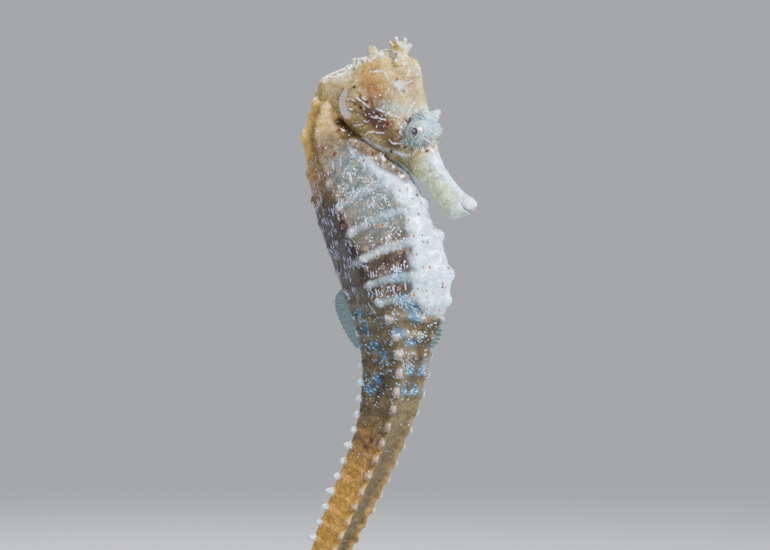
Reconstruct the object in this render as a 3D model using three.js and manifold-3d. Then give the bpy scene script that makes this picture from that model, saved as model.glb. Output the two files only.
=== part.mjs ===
// A longsnout seahorse, a grown female, life size, as a still model on a small turned stand.
// Millimetres. +X is the way the animal faces, +Y its left side, +Z up. The origin is the
// middle of the underside of the base.
import * as THREE from 'three';
import { mergeVertices } from 'three/addons/utils/BufferGeometryUtils.js';
import Module from 'manifold-3d';

const wasm = await Module();
wasm.setup();

// ---------- driving dimensions ----------

const GAP = 0.3; // left between pieces that meet
const SLIVER = 0.5; // cubic millimetres; smaller scraps of a cut are dropped
const UPRIGHT = new THREE.Vector3(0, 1, 0); // the axis of a new cylinder

// The nape, where the axis of the body leaves the head, and where the head's own axis starts.
const NAPE = new THREE.Vector2(-7.2, 125.2);
const HEAD_START = new THREE.Vector2(-7.2, 125.6);

// Direction of the axis of the body, in degrees from +X towards +Z, by the distance from the
// nape. The neck arches back, the trunk hangs down, and the tail ends in a forward coil.
const HEADING = [
  [0, -150], [4, -125], [8, -92], [12, -62], [15, -53], [21, -59], [27, -63], [33, -66.5],
  [38, -73], [43, -85], [47, -91], [53, -94], [60, -100], [66, -105], [72, -111.5], [80, -115.5],
  [92, -116], [97, -110], [102, -88], [108, -48], [114, -4], [120, 48], [126, 110],
  [132, 190], [139, 310],
];
const BODY_LENGTH = 139;
const AXIS_STEP = 0.25;

// Half the depth (back to belly) and half the width of the body between its rings.
const DEPTH = [
  [0, 3.2], [5, 4], [8.5, 4.9], [12, 6.3], [16, 8.5], [21.5, 10.2], [27.3, 11.1],
  [33, 11.4], [38, 11.4], [43, 11.2], [46.5, 10.1], [49.5, 8.7], [53, 7.2], [56.5, 6],
  [60.8, 4.7], [66, 4], [71, 3.6], [76, 3.4], [86, 3.1], [92, 2.9], [100, 2.4],
  [115, 1.6], [130, 0.88], [139, 0.4],
];
const WIDTH = [
  [0, 2.7], [5, 3.2], [8.5, 3.8], [12, 4.6], [16, 5.4], [21.5, 6.0], [27.3, 6.4],
  [33, 6.6], [38, 6.6], [43, 6.4], [49.5, 5.6], [56.5, 4.7], [60.8, 4.3], [66, 3.9],
  [71, 3.6], [76, 3.4], [86, 3.1], [92, 2.9], [100, 2.4], [115, 1.6], [130, 0.88],
  [139, 0.4],
];

// Turn of the section about the axis: the tail's belly turns towards the right side.
const TWIST = [[0, 0], [36, 0], [60, 18], [100, 18], [115, 0], [139, 0]];

// Half a section of the body as five ridges, from the middle of the back to the keel of the
// belly: the share of the half width and of the half depth at each. The trunk has a keeled
// belly and a ridge along its flank, which slides down until the tail is square.
const RIDGES = [
  [0, [0, 1], [0.55, 0.8], [1, 0.1], [0.7, -0.6], [0, -1]],
  [20, [0, 1], [0.5, 0.88], [1, 0.34], [0.66, -0.56], [0, -1]],
  [27, [0, 1], [0.5, 0.87], [1, 0.3], [0.65, -0.54], [0, -0.96]],
  [31, [0, 1], [0.5, 0.87], [1, 0.28], [0.65, -0.54], [0, -0.92]],
  [33.5, [0, 1], [0.5, 0.87], [1, 0.26], [0.65, -0.54], [0, -0.9]],
  [38.5, [0, 1], [0.5, 0.86], [1, 0.22], [0.66, -0.56], [0, -0.95]],
  [43, [0, 1], [0.5, 0.86], [1, 0.2], [0.66, -0.56], [0, -1]],
  [46.5, [0, 1.03], [0.52, 0.86], [1, 0.0], [0.62, -0.64], [0, -1]],
  [50, [0, 1.05], [0.55, 0.86], [1, -0.25], [0.5, -0.76], [0, -1]],
  [54, [0, 1.03], [0.64, 0.9], [0.97, -0.52], [0.42, -0.82], [0, -0.94]],
  [58, [0, 0.94], [0.74, 0.95], [0.9, -0.75], [0.4, -0.86], [0, -0.88]],
  [63, [0, 0.86], [0.82, 1], [0.86, -0.95], [0.4, -0.88], [0, -0.84]],
  [139, [0, 0.84], [0.84, 1], [0.86, -0.95], [0.4, -0.88], [0, -0.84]],
];
const SECTION_COLUMNS = 16;
const ROUNDING = 0.6; // of a full curve through the ridges
const CURVE_SHARE = 1 / 16; // what a full curve adds at the middle of a panel

// The bony rings. Each ring's ridge stands proud, and a knob stands where it crosses a ridge
// that runs along the body.
const NECK_ROW = 2.2; // a plain row before the first ring
const FIRST_RING = 5;
const RING_SPACING = [
  [1, 4.5], [3, 4.9], [5, 5.8], [7, 5.6], [8, 3.9], [9, 3], [12, 3.4], [22, 3.2], [30, 2.4],
  [38, 1.6], [48, 0.8],
];
const RING_SHOULDER = 0.3; // share of a ring from its crest to its foot
const FINE_RINGS = 20; // rings up to this one have a foot on both sides
const COARSE_RING = 35; // from this one on, only the crests are drawn
const RING_HEIGHT = [[0, 0.1], [10, 0.3], [45, 0.35], [100, 0.16], [139, 0.03]];

// Height of the knobs on the five ridges by the distance from the nape.
const KNOBS = [
  [0, 0, 0.3, 0.2, 0, 0],
  [9.5, 0, 1.1, 0.3, 0.1, 0],
  [14, 0, 0.3, 0.3, 0.2, 0.2],
  [24, 0, 0.6, 0.5, 0.3, 0.6],
  [40, 0, 0.3, 0.7, 0.4, 0.6],
  [54, 0, 0.3, 0.7, 0.3, 0.3],
  [62, 0, 0.85, 0.8, 0, 0],
  [90, 0, 0.85, 0.75, 0, 0],
  [115, 0, 0.3, 0.25, 0, 0],
  [139, 0, 0.05, 0.05, 0, 0],
];
const TALL_KNOB = 1.7; // every third knob of the tail's back
const FIRST_TALL_RING = 18;

// The head is a loft along its own axis, from the back of the crown to the mouth.
const HEAD_HEADING = -42;
const HEAD_ROWS = [
  // along, lowest, highest, half width
  [-5.4, -3.6, -1.9, 1.2],
  [-4.4, -5, 0, 2.2],
  [-3.2, -5.8, 2.6, 2.8],
  [-2, -6.2, 5.6, 3.2],
  [-0.8, -6.2, 8, 3.5],
  [0.8, -5.9, 10.4, 3.8],
  [2.8, -5.4, 11.4, 4.1],
  [4.8, -5.1, 12.3, 4.3],
  [6.8, -5.2, 13, 4.4],
  [8.6, -5.6, 12.3, 4.4],
  [10.8, -5.3, 10.3, 4.2],
  [13.2, -4.8, 8.7, 3.9],
  [15.6, -4.1, 7, 3.5],
  [18, -3.5, 5.5, 3],
  [20, -3.45, 4.1, 2.45],
  [21.8, -3.6, 2.8, 2.1],
  [24.2, -3.7, 1.7, 1.9],
  [27, -4, 1, 1.85],
  [29.4, -4.5, 0.7, 1.95],
  [31.2, -5.1, 0.65, 2.1],
  [32.4, -4.75, 1.05, 2.05],
  [33.4, -2.9, 1.05, 1.75],
  [34.2, -1.7, 0.55, 0.9],
];
const SKULL_RIDGES = [[0, 1], [0.42, 0.82], [1, 0.5], [0.8, 0.14], [0, 0]];
const SNOUT_RIDGES = [[0, 1], [0.66, 0.86], [1, 0.5], [0.74, 0.12], [0, 0]];
const SNOUT_CUT = { along: 20.6, rise: -1, radius: 6 };

const EYE = { along: 16.6, rise: 3.5, side: 2.95, radius: 2 };
const ORBIT = { radius: 2.75, side: 2 };
const BROW = { root: [15.2, 5.2, 2.5], tip: [15.4, 7.9, 3.7], radius: 1.7, blunt: 0.45 };

// Coronet: a stalk with a crown of five blunt lobes. The waist, flare and rim are shares of
// its height, and the mouth, out and up are shares of the crown's radius.
const CORONET = {
  along: 4.2, rise: 10.9, sunk: 1, height: 3.7, foot: 1.8, stalk: 1.3, crown: 2, lobes: 5,
  waist: 0.36, flare: 0.55, rim: 0.7, hollow: 0.74, mouth: 0.35, top: 0.9, out: 0.2, up: 0.45,
};
const CREST_LOBES = [
  // along and rise of the centre on the crest, radius
  [-1.5, 8.5, 1.05], [-2.35, 5.2, 0.8], [-3.5, 2.3, 0.8], [-4.9, -1, 1],
];

const FIN_THICKNESS = 0.6;
const FIN_ROOT = 1; // how deep a fin's outline starts under the skin
const FIN_EDGE = { steps: 12, lean: 1.15, fullness: 0.6 };
const DORSAL_FIN = { from: 40.4, to: 56.6, height: 3.5 };
const ANAL_FIN = { from: 49.4, to: 53.4, height: 1.3 };
const PECTORAL_FIN = {
  along: 4.6, rise: 0, side: 3.2, root: 0.9, radius: 4.2, spread: 84, flare: 24, segments: 8,
};

// Cuts that part the body and tail into lengths, by the distance from the nape. The reach of
// a cut comes from the half depth and a share of the half width.
const CUTS = [16.6, 33, 52.8, 66, 79.4, 92.4, 100.6, 107.4, 114, 120.4, 127];
const CUT_REACH = { share: 1.12, flank: 0.62, margin: 1.3, sides: 10 };
const BODY_NAMES = [
  'neck', 'trunk_upper', 'trunk_lower', 'tail_1', 'tail_2', 'tail_3', 'tail_4', 'tail_5',
  'tail_6', 'tail_7', 'tail_8', 'tail_9',
];

// The base is turned wood with a cove under its top. The rod stands in a brass ferrule and
// carries a saddle under the lowest turn of the tail.
const BASE = {
  radius: 30, height: 6.4, lip: 1.2, cove: 1.6, chamfer: 0.6, bead: 0.8, slope: 0.6, edge: 0.4,
  sides: 32,
};
const FERRULE = { radius: 3.4, height: 2.6, rim: 0.9, neck: 0.7, bend: [2.1, 1.2], sides: 20 };
const ROD = { radius: 1.25, along: 114.4, sides: 16 };
const CRADLE = { wall: 0.7, length: 3.2, clearance: 1.1, wrap: 150, segments: 8 };

// ---------- materials ----------

function finish(color, roughness, metalness = 0) {
  return new THREE.MeshStandardMaterial({ color, roughness, metalness });
}

const FINISHES = {
  head: finish(0xb98a57, 0.5),
  snout: finish(0xe6e4d8, 0.45),
  coronet: finish(0xe9d7a0, 0.45),
  neck: finish(0xc79a4c, 0.5),
  trunk_upper: finish(0xcfd6d2, 0.5),
  trunk_lower: finish(0x9a8262, 0.5),
  tail: finish(0xb48d4d, 0.5),
  fin: finish(0x9fb0ba, 0.35),
  eye: finish(0x2a1c26, 0.08),
  wood: finish(0x4a2f1f, 0.45),
  brass: finish(0xb08d4a, 0.3, 1),
  steel: finish(0xb9bcc0, 0.3, 1),
};

// ---------- small tools ----------

function degrees(angle) {
  return THREE.MathUtils.degToRad(angle);
}

// Reads a table whose rows start with a distance, between its rows.
function lookUp(table, at) {
  const last = table.length - 1;
  const clamped = THREE.MathUtils.clamp(at, table[0][0], table[last][0]);
  let low = 0;
  while (low < last - 1 && table[low + 1][0] < clamped) low += 1;
  const [start, ...from] = table[low];
  const [end, ...to] = table[low + 1];
  const share = (clamped - start) / (end - start);
  const blend = (a, b) => {
    if (Array.isArray(a)) return a.map((value, i) => blend(value, b[i]));
    return a + (b - a) * share;
  };
  return blend(from, to);
}

function toSolid(geometry) {
  const bare = geometry.index ? geometry.toNonIndexed() : geometry.clone();
  bare.deleteAttribute('normal');
  bare.deleteAttribute('uv');
  const merged = mergeVertices(bare, 1e-4);
  const solid = new wasm.Manifold(new wasm.Mesh({
    numProp: 3,
    vertProperties: new Float32Array(merged.getAttribute('position').array),
    triVerts: new Uint32Array(merged.index.array),
  }));
  return solid;
}

function toGeometry(solid) {
  const { numProp, vertProperties, triVerts } = solid.getMesh();
  const positions = new Float32Array((vertProperties.length / numProp) * 3);
  for (let i = 0; i < positions.length / 3; i += 1) {
    for (let k = 0; k < 3; k += 1) positions[3 * i + k] = vertProperties[numProp * i + k];
  }
  const geometry = new THREE.BufferGeometry();
  geometry.setAttribute('position', new THREE.BufferAttribute(positions, 3));
  geometry.setIndex(new THREE.BufferAttribute(new Uint32Array(triVerts), 1));
  geometry.computeVertexNormals();
  return geometry;
}

function join(solids) {
  return solids.reduce((whole, piece) => whole.add(piece));
}

// Bends a cylinder so that its rings become the given sections.
function loftThrough(rows, columns, pointAt) {
  const tube = new THREE.CylinderGeometry(1, 1, 1, columns, rows - 1);
  const position = tube.getAttribute('position');
  for (let i = 0; i < position.count; i += 1) {
    const row = Math.round((0.5 - position.getY(i)) * (rows - 1));
    const turn = Math.atan2(position.getX(i), position.getZ(i)) / (2 * Math.PI);
    const column = (Math.round(turn * columns) + columns) % columns;
    const point = pointAt(row, column);
    if (Math.hypot(position.getX(i), position.getZ(i)) < 0.5) {
      point.copy(pointAt(row, 0)).add(pointAt(row, columns / 2)).multiplyScalar(0.5);
    }
    position.setXYZ(i, point.x, point.y, point.z);
  }
  return toSolid(tube);
}

// One column of a section given by the ridges of its half: a ridge, or the rounded panel
// between two.
function sectionPoint(ridges, column) {
  const half = SECTION_COLUMNS / 2;
  const side = column <= half ? 1 : -1;
  const place = (side > 0 ? column : SECTION_COLUMNS - column) / 2;
  const ridge = Math.floor(place);
  const [b, n] = ridges[ridge];
  if (place === ridge) return { b: side * b, n, ridge };
  const mirrored = (index) => [-ridges[index][0], ridges[index][1]];
  const last = ridges.length - 1;
  const [bNext, nNext] = ridges[ridge + 1];
  const [bBefore, nBefore] = ridge > 0 ? ridges[ridge - 1] : mirrored(1);
  const [bAfter, nAfter] = ridge + 2 <= last ? ridges[ridge + 2] : mirrored(last - 1);
  const bulge = ROUNDING * CURVE_SHARE;
  return {
    b: side * ((b + bNext) / 2 + bulge * (b + bNext - bBefore - bAfter)),
    n: (n + nNext) / 2 + bulge * (n + nNext - nBefore - nAfter),
    ridge: -1,
  };
}

// ---------- the body: neck, trunk and tail ----------

// Walks along the axis in small steps and keeps each point.
function walkAxis() {
  const points = [{ x: NAPE.x, z: NAPE.y }];
  for (let along = 0; along < BODY_LENGTH; along += AXIS_STEP) {
    const [heading] = lookUp(HEADING, along + AXIS_STEP / 2);
    const { x, z } = points[points.length - 1];
    points.push({
      x: x + AXIS_STEP * Math.cos(degrees(heading)),
      z: z + AXIS_STEP * Math.sin(degrees(heading)),
    });
  }
  return points;
}

const AXIS = walkAxis();

// The frame at a distance from the nape: its place, and the directions of the tail end, of
// the back and of the right side, with the twist taken in.
function frameAt(along) {
  const step = Math.min(along / AXIS_STEP, AXIS.length - 1.001);
  const low = AXIS[Math.floor(step)];
  const high = AXIS[Math.floor(step) + 1];
  const share = step - Math.floor(step);
  const [heading] = lookUp(HEADING, along);
  const [twist] = lookUp(TWIST, along);
  const forward = new THREE.Vector3(Math.cos(degrees(heading)), 0, Math.sin(degrees(heading)));
  const back = new THREE.Vector3(forward.z, 0, -forward.x);
  const right = new THREE.Vector3(0, -1, 0);
  back.applyAxisAngle(forward, degrees(twist));
  right.applyAxisAngle(forward, degrees(twist));
  const place = new THREE.Vector3(low.x, 0, low.z).lerp(new THREE.Vector3(high.x, 0, high.z), share);
  return { place, forward, back, right };
}

// Every row of the body: the crest and the feet of each ring.
function bodyRows() {
  const rows = [{ along: 0, crest: 0, ring: 0 }, { along: NECK_ROW, crest: 0, ring: 0 }];
  let crest = FIRST_RING;
  let ring = 1;
  while (crest < BODY_LENGTH - AXIS_STEP) {
    const [spacing] = lookUp(RING_SPACING, ring);
    const shoulder = ring <= FINE_RINGS ? RING_SHOULDER : 0.5;
    if (ring <= FINE_RINGS) rows.push({ along: crest - shoulder * spacing, crest: 0, ring });
    rows.push({ along: crest, crest: 1, ring });
    if (ring < COARSE_RING) rows.push({ along: crest + shoulder * spacing, crest: 0, ring });
    crest += spacing;
    ring += 1;
  }
  rows.push({ along: BODY_LENGTH, crest: 0, ring });
  return rows;
}

function isTall(ring) {
  return ring >= FIRST_TALL_RING && (ring - FIRST_TALL_RING) % 3 === 0;
}

// The skin of the body, pushed out by grow.
function bodySolid(grow = 0) {
  const rows = bodyRows();
  return loftThrough(rows.length, SECTION_COLUMNS, (row, column) => {
    const { along, crest, ring } = rows[row];
    const { place, back, right } = frameAt(along);
    const { b, n, ridge } = sectionPoint(lookUp(RIDGES, along), column);
    const outward = new THREE.Vector2(b * lookUp(WIDTH, along)[0], n * lookUp(DEPTH, along)[0]);
    const knob = ridge < 0 ? 0 : lookUp(KNOBS, along)[ridge];
    const tall = ridge === 1 && isTall(ring) ? TALL_KNOB : 1;
    const lift = crest * (lookUp(RING_HEIGHT, along)[0] + knob * tall) + grow;
    outward.setLength(outward.length() + lift);
    return place.addScaledVector(right, outward.x).addScaledVector(back, outward.y);
  });
}

// A thin disc across the body, just wider than the body there.
function cutDisc(along) {
  const { place, forward } = frameAt(along);
  const { share, flank, margin, sides } = CUT_REACH;
  const [depth] = lookUp(DEPTH, along);
  const [width] = lookUp(WIDTH, along);
  const reach = share * Math.hypot(depth, flank * width) + margin;
  const disc = new THREE.CylinderGeometry(reach, reach, GAP, sides);
  disc.applyQuaternion(new THREE.Quaternion().setFromUnitVectors(UPRIGHT, forward));
  disc.translate(place.x, place.y, place.z);
  return toSolid(disc);
}

// How far along the body a point is.
function distanceAlong(point) {
  let best = 0;
  let nearest = Infinity;
  AXIS.forEach(({ x, z }, step) => {
    const distance = Math.hypot(point.x - x, point.z - z);
    if (distance < nearest) {
      nearest = distance;
      best = step * AXIS_STEP;
    }
  });
  return best;
}

function middleOf(solid) {
  const { min, max } = solid.boundingBox();
  return { x: (min[0] + max[0]) / 2, z: (min[2] + max[2]) / 2 };
}

function bodyLengths(head) {
  const discs = CUTS.map(cutDisc);
  const parted = discs.reduce((body, disc) => body.subtract(disc), bodySolid().subtract(head));
  return parted.decompose()
    .filter((piece) => piece.volume() > SLIVER)
    .sort((a, b) => distanceAlong(middleOf(a)) - distanceAlong(middleOf(b)));
}

// ---------- the head ----------

const HEAD_FORWARD = new THREE.Vector3(1, 0, 0);
HEAD_FORWARD.applyAxisAngle(UPRIGHT, degrees(-HEAD_HEADING));
const HEAD_UP = new THREE.Vector3(-HEAD_FORWARD.z, 0, HEAD_FORWARD.x);

// A point by its distance along the head's axis, its rise above that axis and its side.
function inHead(along, rise, side = 0) {
  return new THREE.Vector3(HEAD_START.x, side, HEAD_START.y)
    .addScaledVector(HEAD_FORWARD, along)
    .addScaledVector(HEAD_UP, rise);
}

function headLoft(grow = 0) {
  return loftThrough(HEAD_ROWS.length, SECTION_COLUMNS, (row, column) => {
    const [along, lowest, highest, halfWidth] = HEAD_ROWS[row];
    const ridges = along > SNOUT_CUT.along ? SNOUT_RIDGES : SKULL_RIDGES;
    const { b, n } = sectionPoint(ridges, column);
    const rise = lowest + n * (highest - lowest);
    const outward = new THREE.Vector2(b * halfWidth, rise - (lowest + highest) / 2);
    outward.setLength(outward.length() + grow);
    let slid = along;
    if (row === 0) slid -= grow;
    if (row === HEAD_ROWS.length - 1) slid += grow;
    return inHead(slid, (lowest + highest) / 2 + outward.y, outward.x);
  });
}

function ball(radius, place, detail = 12) {
  const sphere = new THREE.SphereGeometry(radius, detail, Math.round(detail * 0.6));
  sphere.translate(place.x, place.y, place.z);
  return toSolid(sphere);
}

// A blunt spine between two points.
function spine({ radius, blunt }, root, tip) {
  const way = tip.clone().sub(root);
  const length = way.length();
  const cone = new THREE.CylinderGeometry(radius * blunt, radius, length, 8);
  cone.translate(0, length / 2, 0);
  cone.applyQuaternion(new THREE.Quaternion().setFromUnitVectors(UPRIGHT, way.normalize()));
  cone.translate(root.x, root.y, root.z);
  return toSolid(cone);
}

// The turret round an eye, with the spine over its brow.
function orbit(side) {
  const turret = ball(ORBIT.radius, inHead(EYE.along, EYE.rise, side * ORBIT.side));
  const [root, tip] = [BROW.root, BROW.tip].map(
    ([along, rise, out]) => inHead(along, rise, side * out),
  );
  return turret.add(spine(BROW, root, tip));
}

function crestLobes(grow = 0) {
  return CREST_LOBES.map(([along, rise, radius]) => ball(radius + grow, inHead(along, rise), 6));
}

function skullSolid(grow = 0) {
  return join([headLoft(grow), ...crestLobes(grow)]);
}

function eye(side, grow = 0) {
  return ball(EYE.radius + grow, inHead(EYE.along, EYE.rise, side * EYE.side), 14);
}

// The stalk flares into a crown whose rim is cut into lobes.
function coronet(grow = 0) {
  const { height, sunk, foot, stalk, crown, lobes, waist, flare, rim, hollow, mouth, top } = CORONET;
  const profile = new THREE.Path();
  profile.moveTo(0, -sunk);
  profile.lineTo(foot + grow, -sunk);
  profile.lineTo(stalk + grow, height * waist);
  profile.quadraticCurveTo(stalk + grow, height * flare, crown + grow, height * rim);
  profile.lineTo(crown * top + grow, height + grow);
  profile.lineTo(crown * mouth + grow, height * hollow + grow);
  profile.lineTo(0, height * rim + grow);
  const lathe = new THREE.LatheGeometry(profile.getPoints(2), lobes * 4);
  const position = lathe.getAttribute('position');
  for (let i = 0; i < position.count; i += 1) {
    const x = position.getX(i);
    const y = position.getY(i);
    const z = position.getZ(i);
    const high = THREE.MathUtils.smoothstep(y, height * waist, height * hollow);
    const lobe = high * Math.cos(lobes * Math.atan2(x, z));
    const spread = 1 + CORONET.out * lobe;
    const lift = CORONET.up * Math.max(0, lobe) * Math.hypot(x, z);
    position.setXYZ(i, x * spread, y + lift, z * spread);
  }
  lathe.rotateX(Math.PI / 2);
  const root = inHead(CORONET.along, CORONET.rise);
  lathe.translate(root.x, root.y, root.z);
  return toSolid(lathe);
}

// ---------- fins ----------

// A plate of the fin's thickness from an outline in the animal's middle plane.
function finPlate(outline) {
  const shape = new THREE.Shape(outline.map(({ x, z }) => new THREE.Vector2(x, z)));
  const plate = new THREE.ExtrudeGeometry(shape, { depth: FIN_THICKNESS, bevelEnabled: false });
  plate.translate(0, 0, -FIN_THICKNESS / 2);
  plate.rotateX(Math.PI / 2);
  return toSolid(plate);
}

// An outline that starts and ends on the body's skin and stands out from it by height.
function fringe({ from, to, height }, way) {
  const { steps, lean, fullness } = FIN_EDGE;
  const root = [];
  const edge = [];
  for (let i = 0; i <= steps; i += 1) {
    const share = i / steps;
    const along = from + share * (to - from);
    const { place, back } = frameAt(along);
    const flat = new THREE.Vector3(back.x, 0, back.z).normalize();
    const skin = lookUp(DEPTH, along)[0];
    const rise = height * Math.sin(Math.PI * share ** lean) ** fullness;
    root.push(place.clone().addScaledVector(flat, way * (skin - FIN_ROOT)));
    edge.push(place.clone().addScaledVector(flat, way * (skin + rise)));
  }
  return [...root, ...edge.reverse()];
}

function pectoralFin(side, keepClear) {
  const { radius, spread, flare, segments } = PECTORAL_FIN;
  const fan = new THREE.Shape();
  const half = degrees(spread / 2);
  fan.moveTo(0, -PECTORAL_FIN.root);
  fan.lineTo(radius * Math.cos(half), -radius * Math.sin(half));
  fan.absarc(0, 0, radius, -half, half, false);
  fan.lineTo(0, PECTORAL_FIN.root);
  fan.closePath();
  const plate = new THREE.ExtrudeGeometry(fan, {
    depth: FIN_THICKNESS,
    bevelEnabled: false,
    curveSegments: segments,
  });
  plate.translate(0, 0, -FIN_THICKNESS / 2);
  plate.rotateX(Math.PI / 2);
  plate.rotateZ(Math.PI - degrees(side * flare));
  const root = inHead(PECTORAL_FIN.along, PECTORAL_FIN.rise, side * PECTORAL_FIN.side);
  plate.translate(root.x, root.y, root.z);
  return toSolid(plate).subtract(keepClear);
}

// ---------- the stand ----------

function standBase() {
  const { radius, height, lip, cove, chamfer, bead, slope, edge, sides } = BASE;
  const profile = new THREE.Path();
  profile.moveTo(0, 0);
  profile.lineTo(radius - chamfer, 0);
  profile.lineTo(radius, chamfer);
  profile.lineTo(radius, height - lip - cove);
  profile.absarc(radius, height - lip, cove, -Math.PI / 2, -Math.PI, true);
  profile.lineTo(radius - cove - bead, height - edge);
  profile.lineTo(radius - cove - bead - slope, height);
  profile.lineTo(0, height);
  const turned = new THREE.LatheGeometry(profile.getPoints(3), sides);
  turned.rotateX(Math.PI / 2);
  return toSolid(turned);
}

function standFoot() {
  const { place } = frameAt(ROD.along);
  return place;
}

function standFerrule() {
  const { radius, height, rim, neck, bend, sides } = FERRULE;
  const inner = ROD.radius + GAP;
  const profile = new THREE.Path();
  profile.moveTo(inner, 0);
  profile.lineTo(radius, 0);
  profile.lineTo(radius, rim);
  profile.quadraticCurveTo(bend[0], bend[1], inner + neck, height);
  profile.lineTo(inner, height);
  profile.lineTo(inner, 0);
  const ring = new THREE.LatheGeometry(profile.getPoints(3), sides);
  ring.rotateX(Math.PI / 2);
  ring.translate(standFoot().x, 0, BASE.height + GAP);
  return toSolid(ring);
}

function cradleInner() {
  return lookUp(DEPTH, ROD.along)[0] + CRADLE.clearance;
}

// A strip of metal bent under the coil, as a saddle.
function standCradle() {
  const { wall, length, wrap, segments } = CRADLE;
  const inner = cradleInner();
  const half = degrees(wrap / 2);
  const down = -Math.PI / 2;
  const strip = new THREE.Shape();
  strip.absarc(0, 0, inner + wall, down - half, down + half, false);
  strip.absarc(0, 0, inner, down + half, down - half, true);
  const saddle = new THREE.ExtrudeGeometry(strip, {
    depth: length,
    bevelEnabled: false,
    curveSegments: segments,
  });
  saddle.translate(0, 0, -length / 2);
  saddle.rotateX(Math.PI / 2);
  saddle.rotateZ(Math.PI / 2);
  const foot = standFoot();
  saddle.translate(foot.x, 0, foot.z);
  return toSolid(saddle);
}

function standRod() {
  const bottom = BASE.height + GAP;
  const top = standFoot().z - cradleInner() - CRADLE.wall - GAP;
  const rod = new THREE.CylinderGeometry(ROD.radius, ROD.radius, top - bottom, ROD.sides);
  rod.rotateX(Math.PI / 2);
  rod.translate(standFoot().x, 0, (top + bottom) / 2);
  return toSolid(rod);
}

// ---------- assembly ----------

function addPiece(group, name, solid, material) {
  const mesh = new THREE.Mesh(toGeometry(solid), material);
  mesh.name = name;
  group.add(mesh);
}

function buildAnimal() {
  const animal = new THREE.Group();
  const skullShell = skullSolid(GAP);
  const bodyShell = bodySolid(GAP);
  const crownShell = coronet(GAP);
  const sides = { left: 1, right: -1 };

  const orbits = join(Object.values(sides).map(orbit));
  const eyeShells = join(Object.values(sides).map((side) => eye(side, GAP)));
  const wholeHead = skullSolid().add(orbits).subtract(eyeShells).subtract(crownShell);
  const collar = new THREE.CylinderGeometry(SNOUT_CUT.radius, SNOUT_CUT.radius, GAP, 24);
  collar.applyQuaternion(new THREE.Quaternion().setFromUnitVectors(UPRIGHT, HEAD_FORWARD));
  const collarPlace = inHead(SNOUT_CUT.along, SNOUT_CUT.rise);
  collar.translate(collarPlace.x, collarPlace.y, collarPlace.z);
  const [head, snout] = wholeHead.subtract(toSolid(collar)).decompose()
    .sort((a, b) => b.volume() - a.volume());
  addPiece(animal, 'head', head, FINISHES.head);
  addPiece(animal, 'snout', snout, FINISHES.snout);
  addPiece(animal, 'coronet', coronet(), FINISHES.coronet);

  bodyLengths(skullShell).forEach((piece, i) => {
    const name = BODY_NAMES[i];
    addPiece(animal, name, piece, FINISHES[name] ?? FINISHES.tail);
  });

  const dorsal = finPlate(fringe(DORSAL_FIN, 1));
  const anal = finPlate(fringe(ANAL_FIN, -1));
  addPiece(animal, 'dorsal_fin', dorsal.subtract(bodyShell), FINISHES.fin);
  addPiece(animal, 'anal_fin', anal.subtract(bodyShell), FINISHES.fin);
  const fleshShell = skullShell.add(bodyShell);
  Object.entries(sides).forEach(([name, side]) => {
    addPiece(animal, `pectoral_fin_${name}`, pectoralFin(side, fleshShell), FINISHES.fin);
    addPiece(animal, `eye_${name}`, eye(side), FINISHES.eye);
  });
  return animal;
}

function buildStand() {
  const stand = new THREE.Group();
  addPiece(stand, 'stand_base', standBase(), FINISHES.wood);
  addPiece(stand, 'stand_ferrule', standFerrule(), FINISHES.brass);
  addPiece(stand, 'stand_rod', standRod(), FINISHES.steel);
  addPiece(stand, 'stand_cradle', standCradle(), FINISHES.brass);
  return stand;
}

const seahorse = new THREE.Group();
seahorse.add(buildAnimal());
seahorse.add(buildStand());

export default seahorse;
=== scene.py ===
import math

import bmesh
import bpy
import numpy as np
from mathutils import Matrix, Vector
from mathutils.kdtree import KDTree


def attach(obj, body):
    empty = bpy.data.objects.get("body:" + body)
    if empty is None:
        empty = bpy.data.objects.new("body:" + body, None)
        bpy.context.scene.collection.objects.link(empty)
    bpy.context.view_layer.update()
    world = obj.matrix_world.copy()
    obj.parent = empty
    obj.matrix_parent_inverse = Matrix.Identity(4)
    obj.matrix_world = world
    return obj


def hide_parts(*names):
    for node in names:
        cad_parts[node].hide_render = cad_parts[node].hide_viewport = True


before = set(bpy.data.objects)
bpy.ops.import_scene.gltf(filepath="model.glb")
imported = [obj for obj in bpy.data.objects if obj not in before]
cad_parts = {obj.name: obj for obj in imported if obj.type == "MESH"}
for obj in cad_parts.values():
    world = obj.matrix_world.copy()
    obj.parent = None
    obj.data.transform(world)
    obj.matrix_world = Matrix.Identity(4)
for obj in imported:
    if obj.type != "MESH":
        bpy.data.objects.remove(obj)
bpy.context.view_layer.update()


# ---------- camera ----------
# A long lens, level with the trunk and a little to the front of the animal's right side. It
# takes in the animal from the coronet to halfway down the tail.

VIEW_TURN = math.radians(22)
VIEW_DISTANCE = 0.6
VIEW_WIDTH = 0.1463  # across the picture, at the animal
VIEW_TARGET = Vector((-0.00005, 0, 0.09006))


def placed(name, data, finish=None):
    """A new object of the scene, at the origin, that shows this mesh, lamp or camera."""
    thing = bpy.data.objects.new(name, data)
    bpy.context.collection.objects.link(thing)
    if finish:
        data.materials.append(finish)
    return thing


camera_data = bpy.data.cameras.new("camera")
camera_data.sensor_width = 36
camera_data.lens = camera_data.sensor_width * VIEW_DISTANCE / VIEW_WIDTH
camera = placed("camera", camera_data)
towards_camera = Vector((math.sin(VIEW_TURN), -math.cos(VIEW_TURN), 0))
camera.location = VIEW_TARGET + towards_camera * VIEW_DISTANCE
camera.rotation_euler = towards_camera.to_track_quat("Z", "Y").to_euler()
bpy.context.scene.camera = camera


# ---------- skin: neck, trunk and tail ----------
# A seahorse has no scales: its skin is drawn over bony rings, which stand out as ridges across
# the body, with a knob wherever a ring crosses one of the ridges that run along it. The body is
# a rolled-up sheet, bent along the animal's axis. It is made in millimetres and scaled at the end.

MM = 0.001

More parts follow.
